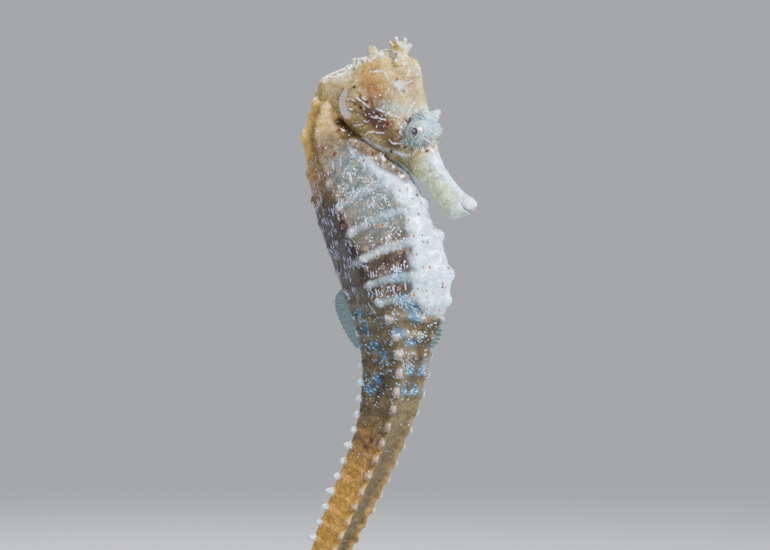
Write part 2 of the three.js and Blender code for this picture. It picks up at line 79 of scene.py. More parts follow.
NAPE = (-7.2, 125.2)  # x and z of the start of the body's axis
HEADING = [  # distance from the nape, direction of the axis in degrees from +X towards +Z
    (0, -150), (4, -125), (8, -92), (12, -62), (15, -53), (21, -59), (27, -63), (33, -66.5),
    (38, -73), (43, -85), (47, -91), (53, -94), (60, -100), (66, -105), (72, -111.5),
    (80, -115.5), (92, -116), (97, -110), (102, -88), (108, -48), (114, -4), (120, 48),
    (126, 110), (132, 190), (139, 310),
]
BODY_LENGTH = 139
AXIS_STEP = 0.25
HALF_DEPTH = [
    (0, 3.2), (5, 4), (8.5, 4.9), (12, 6.3), (16, 8.5), (21.5, 10.2), (27.3, 11.1), (33, 11.4),
    (38, 11.4), (43, 11.2), (46.5, 10.1), (49.5, 8.7), (53, 7.2), (56.5, 6), (60.8, 4.7),
    (66, 4), (71, 3.6), (76, 3.4), (86, 3.1), (92, 2.9), (100, 2.4), (115, 1.6), (130, 0.88),
    (139, 0.4),
]
HALF_WIDTH = [
    (0, 2.7), (5, 3.2), (8.5, 3.8), (12, 4.6), (16, 5.4), (21.5, 6), (27.3, 6.4), (33, 6.6),
    (38, 6.6), (43, 6.4), (49.5, 5.6), (56.5, 4.7), (60.8, 4.3), (66, 3.9), (71, 3.6),
    (76, 3.4), (86, 3.1), (92, 2.9), (100, 2.4), (115, 1.6), (130, 0.88), (139, 0.4),
]
TWIST = [(0, 0), (36, 0), (60, 18), (100, 18), (115, 0), (139, 0)]

# Five ridges of half a section, from the middle of the back to the keel of the belly, as shares
# of the half width and the half depth.
RIDGES = [
    (0, 0, 1, 0.55, 0.8, 1, 0.1, 0.7, -0.6, 0, -1),
    (20, 0, 1, 0.5, 0.88, 1, 0.34, 0.66, -0.56, 0, -1),
    (27, 0, 1, 0.5, 0.87, 1, 0.3, 0.65, -0.54, 0, -0.95),
    (31, 0, 1, 0.5, 0.87, 1, 0.28, 0.65, -0.54, 0, -0.9),
    (33.5, 0, 1, 0.5, 0.87, 1, 0.26, 0.65, -0.54, 0, -0.89),
    (38.5, 0, 1, 0.5, 0.86, 1, 0.22, 0.66, -0.56, 0, -0.95),
    (43, 0, 1, 0.5, 0.86, 1, 0.2, 0.66, -0.56, 0, -1),
    (46.5, 0, 1.03, 0.52, 0.86, 1, 0, 0.62, -0.64, 0, -1),
    (50, 0, 1.05, 0.55, 0.86, 1, -0.25, 0.5, -0.76, 0, -1),
    (54, 0, 1.03, 0.64, 0.9, 0.97, -0.52, 0.42, -0.82, 0, -0.94),
    (58, 0, 0.94, 0.74, 0.95, 0.9, -0.75, 0.4, -0.86, 0, -0.88),
    (63, 0, 0.86, 0.82, 1, 0.86, -0.95, 0.4, -0.88, 0, -0.84),
    (139, 0, 0.84, 0.84, 1, 0.86, -0.95, 0.4, -0.88, 0, -0.84),
]
RIDGE_COUNT = 8  # round a whole section
ROUNDING = [(0, 0.7), (50, 0.7), (64, 1.05), (139, 1.05)]

FIRST_RING = 5
RING_SPACING = [
    (1, 4.5), (3, 4.9), (5, 5.8), (7, 5.6), (8, 3.9), (9, 3), (12, 3.4), (22, 3.2), (30, 2.4),
    (38, 1.6), (48, 0.8),
]
RING_HEIGHT = [
    (0, 0.1), (10, 0.25), (20, 0.5), (46, 0.55), (54, 0.4), (60, 0.24), (70, 0.13), (100, 0.1),
    (139, 0.03),
]
RING_REACH = [(0, 0.9), (20, 1.15), (40, 1.05), (48, 0.8), (60, 0.55), (100, 0.4), (139, 0.2)]
BACK_CALM = [(0, 0), (18, 0.1), (24, 0.6), (44, 0.6), (54, 0)]  # lower crests on the back
BACK_FADE = 1.5
RING_BEND = [(0, 0.6), (24, 0.6), (46, 0.4), (58, 0), (139, 0)]
KNOBS = [  # heights on the five ridges
    (0, 0, 0.3, 0.2, 0, 0),
    (9.5, 0, 0.7, 0.3, 0.1, 0),
    (14, 0, 0.3, 0.3, 0.2, 0.2),
    (24, 0, 0.4, 0.45, 0.2, 0.7),
    (40, 0, 0.2, 0.6, 0.25, 0.6),
    (54, 0, 0.35, 0.62, 0.3, 0.3),
    (62, 0, 0.9, 0.6, 0, 0),
    (90, 0, 0.9, 0.55, 0, 0),
    (115, 0, 0.35, 0.3, 0, 0),
    (139, 0, 0.05, 0.05, 0, 0),
]
KNOB_REACH = [(0, 0.85), (40, 0.85), (60, 0.74), (90, 0.7), (115, 0.45), (139, 0.2)]
KNOB_LEAN = [(0, 0), (50, 0), (62, 0.35), (139, 0.35)]  # towards the tip of the tail
KNOB_LENGTHS = (1, 1, 1.35, 1, 1)  # along the body, in their reach round it
KNOB_BLUNTNESS = 4
TALL_KNOB = 1.5
FIRST_TALL_RING = 18
TALL_EVERY = 3


def read(table, at, soften=0.0):
    """The values of a table at these distances, with its corners rounded over a length."""
    rows = np.array(table, float)
    at = np.asarray(at, float)
    if soften:
        shifts = np.linspace(-soften, soften, 9)
        weights = np.hanning(len(shifts) + 2)[1:-1]
        return sum(w * read(table, at + d) for w, d in zip(weights, shifts)) / weights.sum()
    return np.stack([np.interp(at, rows[:, 0], values) for values in rows[:, 1:].T], -1)


def read_one(table, at, soften=0.0):
    """The same for a table with a single value in each row."""
    return read(table, at, soften)[..., 0]


def swell(distance, reach):
    """From 1 at no distance to nearly 0 at twice the reach."""
    return np.exp(-(distance / reach) ** 2)


axis_steps = np.arange(0, BODY_LENGTH + AXIS_STEP, AXIS_STEP)
axis_turns = np.radians(read_one(HEADING, axis_steps[:-1] + AXIS_STEP / 2))
axis_x = NAPE[0] + AXIS_STEP * np.concatenate([[0], np.cumsum(np.cos(axis_turns))])
axis_z = NAPE[1] + AXIS_STEP * np.concatenate([[0], np.cumsum(np.sin(axis_turns))])


def body_frame(along):
    """Places on the axis, and the ways to the tail, to the back and to the right side."""
    heading = np.radians(read_one(HEADING, along, 0.5))
    twist = np.radians(read(TWIST, along, 2))
    x = np.interp(along, axis_steps, axis_x)
    z = np.interp(along, axis_steps, axis_z)
    none = np.zeros_like(x)
    place = np.stack([x, none, z], -1)
    forward = np.stack([np.cos(heading), none, np.sin(heading)], -1)
    up = np.stack([np.sin(heading), none, -np.cos(heading)], -1)
    across = np.stack([none, none - 1, none], -1)
    back = up * np.cos(twist) - across * np.sin(twist)
    right = across * np.cos(twist) + up * np.sin(twist)
    return place, forward, back, right


def rounded_sections(corners, columns, rounding):
    """Closed curves through the corners of the right half of each section and their mirror."""
    mirrored = corners[:, 3:0:-1] * (-1, 1)
    ring = np.concatenate([corners, mirrored], axis=1)
    at = np.arange(columns) * RIDGE_COUNT / columns
    low = at.astype(int)
    share = (at - low)[None, :, None]
    before, here, after, beyond = (ring[:, (low + k) % RIDGE_COUNT] for k in (-1, 0, 1, 2))
    straight = here + (after - here) * share
    curve = here + share * 0.5 * (
        (after - before)
        + share * (2 * before - 5 * here + 4 * after - beyond)
        + share ** 2 * (3 * here - before - 3 * after + beyond)
    )
    return straight + rounding * (curve - straight)


def way_round(sections):
    """How far round its section each point is from the first one, onward and the shorter way."""
    steps = np.linalg.norm(np.roll(sections, -1, axis=1) - sections, axis=2)
    onward = np.cumsum(steps, axis=1) - steps
    return onward, np.minimum(onward, steps.sum(axis=1, keepdims=True) - onward)


def mesh_of(sheet, name):
    mesh = bpy.data.meshes.new(name)
    sheet.to_mesh(mesh)
    sheet.free()
    return mesh


def roll_up(name, points):
    """A mesh from a grid rolled into a tube: points has its rows, columns and coordinates."""
    rows, columns = points.shape[:2]
    sheet = bmesh.new()
    bmesh.ops.create_grid(sheet, x_segments=columns, y_segments=rows - 1, size=0.5)
    mesh = bpy.data.meshes.new(name)
    sheet.to_mesh(mesh)
    flat = np.empty(len(mesh.vertices) * 3)
    mesh.vertices.foreach_get("co", flat)
    flat = flat.reshape(-1, 3) + 0.5
    row = np.rint(flat[:, 1] * (rows - 1)).astype(int)
    column = np.rint(flat[:, 0] * columns).astype(int) % columns
    mesh.vertices.foreach_set("co", points[row, column].ravel())
    sheet.clear()
    sheet.from_mesh(mesh)
    bmesh.ops.remove_doubles(sheet, verts=sheet.verts, dist=1e-5)
    rims = [edge for edge in sheet.edges if edge.is_boundary]
    bmesh.ops.holes_fill(sheet, edges=rims)
    bmesh.ops.recalc_face_normals(sheet, faces=sheet.faces)
    sheet.to_mesh(mesh)
    sheet.free()
    return mesh


def ring_places():
    places = [FIRST_RING]
    while places[-1] < BODY_LENGTH - 1:
        places.append(places[-1] + read_one(RING_SPACING, len(places)))
    return np.array(places[:-1])


RINGS = ring_places()


def from_ring(along):
    """How far each place is past its nearest ring, and that ring's number."""
    middles = (RINGS[1:] + RINGS[:-1]) / 2
    nearest = np.searchsorted(middles, along)
    return along - RINGS[nearest], nearest + 1


def body_relief(along, around, ridges_at):
    """How high the ring crests and the knobs stand at places of the body, given how far round
    from the back they are and where the five ridges are."""
    panel = (around - ridges_at[..., 2]) / (ridges_at[..., 3] - ridges_at[..., 2])
    bend = read_one(RING_BEND, along) * np.sin(np.pi * np.clip(panel, 0, 1))
    past, number = from_ring(along + bend)
    crest = read_one(RING_HEIGHT, along) * swell(past, read_one(RING_REACH, along))
    on_back = np.clip((ridges_at[..., 2] - around) / BACK_FADE, 0, 1)
    crest = crest * (1 - on_back * read_one(BACK_CALM, along))
    tall = (number >= FIRST_TALL_RING) & ((number - FIRST_TALL_RING) % TALL_EVERY == 0)
    heights = read(KNOBS, along)
    reach = read_one(KNOB_REACH, along)
    knobs = []
    for ridge, long in enumerate(KNOB_LENGTHS):
        beside = around - ridges_at[..., ridge]
        shape = np.exp(-np.hypot(past / (reach * long), beside / reach) ** KNOB_BLUNTNESS)
        height = heights[..., ridge] * np.where(tall & (ridge == 1), TALL_KNOB, 1)
        knobs.append(height * shape)
    return crest, np.stack(knobs, -1)


BODY_ROWS = 560
BODY_COLUMNS = 216
BODY_SOFTENING = 1.5  # the length over which the corners of the body's tables are rounded

body_along = np.linspace(0, BODY_LENGTH, BODY_ROWS)
body_half = np.concatenate(
    [read(table, body_along, BODY_SOFTENING) for table in (HALF_WIDTH, HALF_DEPTH)], 1)
body_corners = read(RIDGES, body_along, BODY_SOFTENING).reshape(-1, 5, 2) * body_half[:, None]
body_flat = rounded_sections(body_corners, BODY_COLUMNS, read(ROUNDING, body_along, 4)[..., None])
body_round, body_around = way_round(body_flat)
ridge_columns = np.arange(5) * BODY_COLUMNS // RIDGE_COUNT
body_ridges = body_round[:, ridge_columns]
crest, knobs = body_relief(
    np.repeat(body_along[:, None], BODY_COLUMNS, 1), body_around, body_ridges[:, None]
)
knob = knobs.max(axis=-1)
outward = body_flat / np.linalg.norm(body_flat, axis=2, keepdims=True)
body_flat = body_flat + outward * (crest + knob)[..., None]
place, forward, back, right = body_frame(body_along)
body_points = (
    place[:, None]
    + body_flat[..., :1] * right[:, None]
    + body_flat[..., 1:] * back[:, None]
    + (knob * read(KNOB_LEAN, body_along))[..., None] * forward[:, None]
)
body_mesh = roll_up("body", body_points)


# ---------- skin: head ----------
# The head is a narrow wedge with a tube of a snout. A coronet of blunt lobes stands on its
# crown, and a spine over each eye. The eyes sit in turrets of loose, wrinkled skin.

HEAD_START = (-7.2, 125.6)
HEAD_HEADING = math.radians(-42)
HEAD_ROWS = [  # along the head, lowest, highest, half width
    (-5.4, -3.6, -1.9, 1.2), (-4.4, -5, 0, 2.2), (-3.2, -5.8, 2.6, 2.8), (-2, -6.2, 5.6, 3.2),
    (-0.8, -6.2, 8, 3.5), (0.8, -5.9, 10.4, 3.8), (2.8, -5.4, 11.4, 4.1), (4.8, -5.1, 12.3, 4.3),
    (6.8, -5.2, 13, 4.4), (8.6, -5.6, 12.3, 4.4), (10.8, -5.3, 10.3, 4.2),
    (13.2, -4.8, 8.7, 3.9), (15.6, -4.1, 7, 3.5), (18, -3.5, 5.5, 3), (20, -3.45, 4.1, 2.45),
    (21.8, -3.6, 2.8, 2.1), (24.2, -3.7, 1.7, 1.9), (27, -4, 1, 1.85),
    (29.4, -4.5, 0.7, 1.95), (31.2, -5.1, 0.65, 2.1), (32.4, -4.75, 1.05, 2.05),
    (33.4, -2.9, 1.05, 1.75), (34.2, -1.7, 0.55, 0.9),
]
HEAD_RIDGES = [  # share of the half width and of the height, from the crown to the throat
    (0, 0, 1, 0.42, 0.82, 1, 0.5, 0.8, 0.14, 0, 0),
    (18.5, 0, 1, 0.42, 0.82, 1, 0.5, 0.8, 0.14, 0, 0),
    (22.5, 0, 1, 0.66, 0.86, 1, 0.5, 0.74, 0.12, 0, 0),
    (35, 0, 1, 0.66, 0.86, 1, 0.5, 0.74, 0.12, 0, 0),
]
HEAD_LOFT_ROWS = 170
HEAD_COLUMNS = 160

EYE = {"along": 16.95, "rise": 3.55, "side": 2.95, "radius": 2.0}
TURRET = {"radius": 2.75, "side": 1.95}
LID = {"radius": 1.8, "side": 3.8, "thick": 0.24}
BROW = {"root": (15.4, 5.2, 2.4), "tip": (15.4, 7.7, 3.6), "radius": 1.65, "blunt": 0.55}
CREST_LOBES = [  # x, z and half sizes of each flat lobe from the crown down the back of the neck
    (-2.6, 132.55, (1.15, 0.5, 1.15)), (-5.7, 130.8, (1.3, 0.5, 0.65)),
    (-8.8, 127.9, (0.9, 0.9, 0.8)), (-10.1, 127.6, (1, 0.9, 0.85)),
    (-11.3, 127.4, (0.85, 0.8, 0.7)), (-12.4, 126, (1.4, 1, 1.6)), (-13.6, 124, (1.1, 0.6, 1.5)),
    (-15.1, 120.4, (1, 0.6, 1.9)), (-16.2, 115.4, (0.9, 0.6, 1.8)),
]
GILL_KNOB = {"along": 4.2, "rise": -3.4, "side": 2.7, "radius": 0.8}
CORONET = {"along": 4.2, "rise": 10.9, "sunk": 1.2, "height": 2.5, "stalk": 1.25, "crown": 1.5}
CORONET_ROOT = (3, 0, 132.2)
LOBE_ROOT_RADIUS = 0.7
LOBE_NECK = 0.8  # of the radius of the lobe's round end
CORONET_LOBES = [  # the round ends of the lobes: x, y, z and radius
    (2.1, 0.3, 134.95, 0.4), (0.9, 0.8, 134.3, 0.42), (4.3, -0.7, 134.5, 0.5),
    (4.8, 0.3, 133.5, 0.55), (2.6, 1.5, 134, 0.5), (3.3, -1.4, 133.7, 0.55),
    (1.3, 0, 133.1, 0.36), (1.6, -1.2, 133.9, 0.42),
]
SIDE_ROUNDING = 0.7

head_forward = np.array((math.cos(HEAD_HEADING), 0, math.sin(HEAD_HEADING)))
head_up = np.array((-head_forward[2], 0, head_forward[0]))
head_origin = np.array((HEAD_START[0], 0, HEAD_START[1]))
SIDES = {"left": 1, "right": -1}


def in_head(along, rise, side=0):
    """A point by its place along the head's axis, its rise above it and its side."""
    y = np.array((0, 1, 0))
    return head_origin + head_forward * along + head_up * rise + y * side


def ball(sheet, radius, centre, stretch=(1, 1, 1)):
    matrix = Matrix.Translation(Vector(centre)) @ Matrix.Diagonal((*stretch, 1))
    bmesh.ops.create_icosphere(sheet, subdivisions=4, radius=radius, matrix=matrix)


def taper(sheet, root, tip, root_radius, tip_radius):
    """A blunt spine with a round tip."""
    root, tip = Vector(root), Vector(tip)
    way = tip - root
    matrix = Matrix.Translation((root + tip) / 2) @ way.to_track_quat("Z", "Y").to_matrix().to_4x4()
    bmesh.ops.create_cone(
        sheet, cap_ends=True, segments=24, radius1=root_radius, radius2=tip_radius,
        depth=way.length, matrix=matrix,
    )
    ball(sheet, tip_radius * 1.02, tip)


def hoop(sheet, centre, radius, thick, axis):
    """A ring of round section, such as the rim of an eyelid."""
    start = Vector(centre)
    side_way = Vector(axis).orthogonal().normalized()
    matrix = Matrix.Translation(start + side_way * radius)
    matrix = matrix @ Vector(axis).cross(side_way).to_track_quat("Z", "Y").to_matrix().to_4x4()
    made = bmesh.ops.create_circle(sheet, segments=12, radius=thick, matrix=matrix)
    edges = list({edge for vert in made["verts"] for edge in vert.link_edges})
    bmesh.ops.spin(
        sheet, geom=made["verts"] + edges, cent=start, axis=Vector(axis), angle=math.tau,
        steps=48, use_merge=True,
    )


def coronet_points():
    """The cup of the coronet, from its stalk over its wavy rim and down into its hollow."""
    height, stalk, crown = CORONET["height"], CORONET["stalk"], CORONET["crown"]
    profile = np.array([
        (stalk * 1.6, -CORONET["sunk"]), (stalk * 1.2, 0), (stalk * 1.02, height * 0.28),
        (stalk * 1.15, height * 0.45), (crown * 0.95, height * 0.68), (crown * 1.1, height * 0.86),
        (crown * 1.08, height * 0.97), (crown * 0.96, height), (crown * 0.82, height * 0.93),
        (crown * 0.7, height * 0.76), (crown * 0.45, height * 0.62), (crown * 0.2, height * 0.6),
    ])
    at = np.linspace(0, len(profile) - 1, 60)
    radius = np.interp(at, np.arange(len(profile)), profile[:, 0])
    rise = np.interp(at, np.arange(len(profile)), profile[:, 1])
    turn = np.linspace(0, math.tau, 120, endpoint=False)
    high = np.clip((rise / height - 0.35) / 0.5, 0, 1)[:, None]
    uneven = 0.12 * np.sin(turn + 2.2) + 0.1 * np.sin(2 * turn + 0.6) + 0.08 * np.cos(5 * turn)
    reach = radius[:, None] * (1 + high * uneven[None])
    x = reach * np.cos(turn)
    y = reach * np.sin(turn)
    z = rise[:, None] + high * height * 0.5 * uneven[None]
    foot = in_head(CORONET["along"], CORONET["rise"])
    return foot + np.stack([x, y, z], -1)


head_along = np.linspace(HEAD_ROWS[0][0], HEAD_ROWS[-1][0], HEAD_LOFT_ROWS)
lowest, highest, half_width = read(HEAD_ROWS, head_along, 0.6).T
head_corners = read(HEAD_RIDGES, head_along).reshape(-1, 5, 2)
head_corners = np.stack([
    head_corners[..., 0] * half_width[:, None],
    lowest[:, None] + head_corners[..., 1] * (highest - lowest)[:, None],
], -1)
head_flat = rounded_sections(head_corners, HEAD_COLUMNS, SIDE_ROUNDING)
_, head_around = way_round(head_flat)
head_points = (
    head_origin
    + head_along[:, None, None] * head_forward
    + head_flat[..., 1:] * head_up
    + head_flat[..., :1] * np.array((0, 1, 0))
)
head_mesh = roll_up("head", head_points)
coronet_mesh = roll_up("coronet", coronet_points())

flesh = bmesh.new()
for part in (body_mesh, head_mesh, coronet_mesh):
    flesh.from_mesh(part)
for x, z, size in CREST_LOBES:
    ball(flesh, 1, (x, 0, z), stretch=size)
for x, y, z, radius in CORONET_LOBES:
    taper(flesh, CORONET_ROOT, (x, y, z), LOBE_ROOT_RADIUS, radius * LOBE_NECK)
    ball(flesh, radius, (x, y, z))
for side in SIDES.values():
    ball(flesh, TURRET["radius"], in_head(EYE["along"], EYE["rise"], side * TURRET["side"]))
    ball(flesh, GILL_KNOB["radius"],
         in_head(GILL_KNOB["along"], GILL_KNOB["rise"], side * GILL_KNOB["side"]))
    root, tip = (in_head(t, n, side * y) for t, n, y in (BROW["root"], BROW["tip"]))
    taper(flesh, root, tip, BROW["radius"], BROW["blunt"])
    hoop(flesh, in_head(EYE["along"], EYE["rise"], side * LID["side"]), LID["radius"],
         LID["thick"], (0, 1, 0))


# ---------- skin: one surface ----------
# All the flesh is drawn into one closed surface, and the fine relief is pressed into that:
# wrinkles, the welts and ribs of the gill cover, the beads of the nape, the lips and nostrils.

SKIN_VOXEL = 0.23
SKIN_TRIANGLES = 196000


def finished(thing):
    """The mesh of an object with its modifiers applied."""
    depsgraph = bpy.context.evaluated_depsgraph_get()
    mesh = bpy.data.meshes.new_from_object(thing.evaluated_get(depsgraph))
    thing.modifiers.clear()
    thing.data = mesh
    return mesh


def numbers(mesh, what, width=3):
    values = np.empty(len(mesh.vertices) * width)
    mesh.vertices.foreach_get(what, values)
    return values.reshape(-1, width)


def nearest_in(tree, points):
    """The number of the tree's point that is nearest to each point, and how far off it is."""
    found = [tree.find(point)[1:] for point in points]
    return np.array([index for index, _ in found]), np.array([gap for _, gap in found])


def tree_of(points):
    tree = KDTree(len(points))
    for index, point in enumerate(points):
        tree.insert(point, index)
    tree.balance()
    return tree


body_tree = tree_of(body_points.reshape(-1, 3))
head_tree = tree_of(head_points.reshape(-1, 3))


def on_sheet(tree, sheet, around, points):
    """The nearest row of a rolled-up sheet to each point, the point's offset from there, how far
    off the point is and how far round the sheet it lies."""
    columns = sheet.shape[1]
    nearest, gap = nearest_in(tree, points)
    row, column = nearest // columns, nearest % columns
    offset = points - sheet[row, column]
    onward = sheet[row, (column + 1) % columns] - sheet[row, column - 1]
    onward /= np.linalg.norm(onward, axis=1, keepdims=True)
    onward *= np.where(column < columns / 2, 1, -1)[:, None]
    return row, offset, gap, np.abs(around[row, column] + np.einsum("ij,ij->i", offset, onward))


def whereabouts(points):
    """Where each point of the skin lies: on the body, how far along and how far round from the
    back; on the head, how far along (t), how high (n) and how far round."""
    row, offset, to_body, around = on_sheet(body_tree, body_points, body_around, points)
    along = np.clip(body_along[row] + np.einsum("ij,ij->i", offset, forward[row]), 0, BODY_LENGTH)
    ridges = read(np.column_stack([body_along, body_ridges]), along)
    crest, knobs = body_relief(along, around, ridges)
    belt = np.stack([np.interp(a, r, range(5)) for a, r in zip(around, ridges)])
    _, _, to_head, round_head = on_sheet(head_tree, head_points, head_around, points)
    from_head = points - head_origin
    return {
        "along": along, "around": around, "belt": belt, "crest": crest, "knobs": knobs,
        "side": -points[:, 1], "on_head": to_head < to_body, "to_head": to_head,
        "t": from_head @ head_forward, "n": from_head @ head_up, "head_around": round_head,
    }


def ramp(values, low, high):
    """From 0 at low to 1 at high, with soft ends."""
    share = np.clip((values - low) / (high - low), 0, 1)
    return share * share * (3 - 2 * share)


def fall(values, low, high):
    """From 1 at low to 0 at high, with soft ends."""
    return 1 - ramp(values, low, high)


def band(values, start, full, ebb, end):
    """Up from 0 to 1 between the first two, and back to 0 between the last two."""
    return ramp(values, start, full) * fall(values, ebb, end)


def ripple(points, size, seed, waves=28):
    """Smooth random values, mostly between -1 and 1, whose bumps are about this size."""
    rng = np.random.default_rng(seed)
    ways = rng.normal(size=(waves, points.shape[1]))
    ways /= np.linalg.norm(ways, axis=1, keepdims=True)
    pace = math.tau / size * rng.uniform(0.6, 1.4, (waves, 1))
    return np.cos(points @ (ways * pace).T + rng.uniform(0, math.tau, waves)).mean(1) * 2.5


def from_line(x, y, line):
    """The distance of each point from a bent line."""
    best = np.full(len(x), np.inf)
    for (x0, y0), (x1, y1) in zip(line, line[1:]):
        length = math.hypot(x1 - x0, y1 - y0)
        share = np.clip(((x - x0) * (x1 - x0) + (y - y0) * (y1 - y0)) / length ** 2, 0, 1)
        gap = np.hypot(x - x0 - share * (x1 - x0), y - y0 - share * (y1 - y0))
        best = np.minimum(best, gap)
    return best


NECK_GROOVE = {"depth": 0.3, "reach": 0.8}  # where the body meets the head
WELT = {"height": 0.16, "reach": 0.17}
# The welts are painted lilac-white, partly their own colour and partly a painted sheen.
WELTS = [  # raised pale welts of the cheek and brow: places along and above the head's axis
    [(2.2, -1.15), (2.8, -0.45), (3.7, -0.15)],
    [(3.4, 0.55), (5.1, 0.82), (7, 0.93)],
    [(4.1, 1.4), (5.6, 1.6)],
    [(2.9, -3.1), (3.35, -2.2), (4.4, -1.75)],
    [(8.25, 1.75), (10.25, 2.5), (12.6, 3.35)],
    [(8.25, -0.2), (9.5, 0.6), (10.95, 1.35)],
    [(6, -4.3), (7.1, -3.2), (7.75, -2.4)],
    [(7.6, -1.8), (8.2, -1.5), (8.6, -0.95)],
    [(9.4, -3.7), (9.6, -2.9), (10.3, -2.2), (12.2, -0.8)],
    [(13.7, -1.1), (14.6, -1.2), (15.25, -0.85), (16.4, 0.2)],
    [(12.9, 4.9), (12.25, 6.9), (13, 8.4)],
    [(14.3, 6.2), (13.6, 7.2), (14, 8.2)],
    [(18.9, 3.65), (19.9, 3.6), (21, 3.3)],
    [(2.4, 6.1), (3.4, 7.3), (4.4, 7.5), (5.4, 7)],
    [(8.5, 8.1), (9.2, 10)],
    [(6.3, 11), (7.6, 10.2), (9.2, 10.9)],
]
SNOUT_RIDGE = [(21.5, 1.1), (24.8, 0.6), (27.8, 0.2), (30.5, 0.1), (32.6, 0.5)]
JAW_LINE = [(9.5, -4.4), (11.05, -4.2), (14, -3.4), (15.9, -2.3), (18.1, -1.3)]
MOUTH_LINE = [(31.6, -0.9), (33.2, -1.2), (35, -1.3)]
SNOUT_CREST = {"height": 0.16, "reach": 0.3}
JAW = {"height": 0.2, "reach": 0.25}
MOUTH = {"depth": 0.55, "reach": 0.22}
NOSTRIL = {"along": 20.4, "rise": 3.0, "depth": 0.25, "reach": 0.22}
GILL_COVER = {"along": 10.2, "rise": 0.2, "reach": 8.6, "height": 0.22, "ribs": 17, "rib": 0.06}
TURRET_FOLDS = {"from": 2.2, "apart": 0.62, "height": 0.09, "creases": 19}
BROW_FOLDS = {"along": 16.6, "rise": 6.6, "apart": 0.75, "height": 0.12}
BEADS = 200
LID_BEADS = 40
BROW_BEADS = 26
BEAD_SIDE = 4.4  # off the middle, where the beads round the lids start from
BEAD_RISE = 0.75  # how far a bead stands out, in its radius


def skin_relief(at, points):
    """How far each point of the skin stands out, in millimetres."""
    on_head, t, n, along, belt = (at[key] for key in ("on_head", "t", "n", "along", "belt"))
    flank = np.stack([along * 0.35, at["around"]], -1)
    girdle = np.stack([along, at["around"] * 0.3], -1)
    trunk = band(along, 8, 20, 50, 62)
    belly = ramp(belt, 3, 3.6)
    body = 0.05 * ripple(flank, 0.8, 1) * (1 - belly) * (0.35 + 0.65 * trunk)
    creased = np.maximum(belly * trunk, 0.7 * ramp(along, 46, 56))
    body += 0.08 * ripple(girdle, 1.0, 2) * creased
    body += 0.03 * ripple(points, 0.6, 3)
    body -= NECK_GROOVE["depth"] * swell(at["to_head"], NECK_GROOVE["reach"])

    head = 0.03 * ripple(points, 0.7, 4)
    head += 0.05 * ripple(points, 1.6, 5) * fall(t, 17, 21)
    sided = ramp(np.abs(points[:, 1]), 0.8, 1.6)
    for line in WELTS:
        head += WELT["height"] * swell(from_line(t, n, line), WELT["reach"]) * sided
    crest = swell(from_line(t, n, SNOUT_RIDGE), SNOUT_CREST["reach"])
    head += SNOUT_CREST["height"] * crest * ramp(t, 21, 23)
    head += JAW["height"] * swell(from_line(t, n, JAW_LINE), JAW["reach"]) * sided
    out, up = t - GILL_COVER["along"], n - GILL_COVER["rise"]
    reach = np.hypot(out, up * 1.5)
    cover = 1 - ramp(reach, GILL_COVER["reach"] - 0.5, GILL_COVER["reach"] + 0.2)
    cover = cover * ramp(-out, -1, 1)
    ribs = np.cos(np.arctan2(up * 1.5, -out) * GILL_COVER["ribs"]) * ramp(reach, 2, 5)
    cover = cover * (GILL_COVER["height"] + GILL_COVER["rib"] * ribs)
    head += cover * sided * fall(n, 2, 4)
    beyond = np.hypot(t - EYE["along"], n - EYE["rise"])
    round_eye = np.arctan2(n - EYE["rise"], t - EYE["along"])
    turns = math.tau * (beyond - TURRET_FOLDS["from"]) / TURRET_FOLDS["apart"]
    folds = np.cos(turns + 1.2 * np.sin(round_eye * 2))
    creases = np.cos(round_eye * TURRET_FOLDS["creases"] + beyond * 2) * ramp(beyond, 2, 2.6)
    lids = band(beyond, 1.9, TURRET_FOLDS["from"], 3.2, 4.2) * sided
    head += lids * TURRET_FOLDS["height"] * (folds + 0.8 * creases)
    brow = swell(np.hypot((t - BROW_FOLDS["along"]) / 1.6, (n - BROW_FOLDS["rise"]) / 1.5), 1)
    head += BROW_FOLDS["height"] * brow * np.cos((t * 0.55 + n) * math.tau / BROW_FOLDS["apart"])
    mouth = swell(from_line(t, n, MOUTH_LINE), MOUTH["reach"])
    head -= MOUTH["depth"] * mouth * ramp(t, 31.4, 32.4)
    nostril = np.hypot(t - NOSTRIL["along"], n - NOSTRIL["rise"])
    head -= NOSTRIL["depth"] * swell(nostril, NOSTRIL["reach"])
    return np.where(on_head, head, body)


def beads(points):
    """Small round beads that crowd on the crest of the nape, and round the lids and brows."""
    rng = np.random.default_rng(7)
    centres = []
    for _ in range(BEADS):
        share = rng.uniform(-5.2, 4)
        top = np.interp(share, [row[0] for row in HEAD_ROWS], [row[2] for row in HEAD_ROWS])
        centre = in_head(share, top - 1.8 * rng.random() ** 1.5, rng.normal(0, 1.2))
        centres.append((centre, rng.uniform(0.28, 0.5)))
    for side in SIDES.values():
        for turn in np.linspace(0, math.tau, LID_BEADS, endpoint=False):
            reach = rng.uniform(1.7, 2.5)
            along = EYE["along"] + reach * math.cos(turn)
            centre = in_head(along, EYE["rise"] + reach * math.sin(turn), side * BEAD_SIDE)
            centres.append((centre, rng.uniform(0.2, 0.32)))
        for _ in range(BROW_BEADS):
            along, rise = rng.uniform(15.5, 19.6), rng.uniform(4.8, 7.8)
            centre = in_head(along, rise, side * rng.uniform(0.5, 4))
            centres.append((centre, rng.uniform(0.24, 0.4)))
    tree = tree_of(points)
    height = np.zeros(len(points))
    for centre, size in centres:
        _, index, _ = tree.find(centre)
        for _, near, gap in tree.find_range(points[index], size):
            dome = BEAD_RISE * size * math.sqrt(1 - (gap / size) ** 2)
            height[near] = max(height[near], dome)
    return height


skin = placed("skin", mesh_of(flesh, "skin"))
remesh = skin.modifiers.new("one_surface", "REMESH")
remesh.mode = "VOXEL"
remesh.voxel_size = SKIN_VOXEL
remesh.use_smooth_shade = True
soft = skin.modifiers.new("soft", "SMOOTH")
soft.factor = 0.5
soft.iterations = 1
skin_mesh = finished(skin)

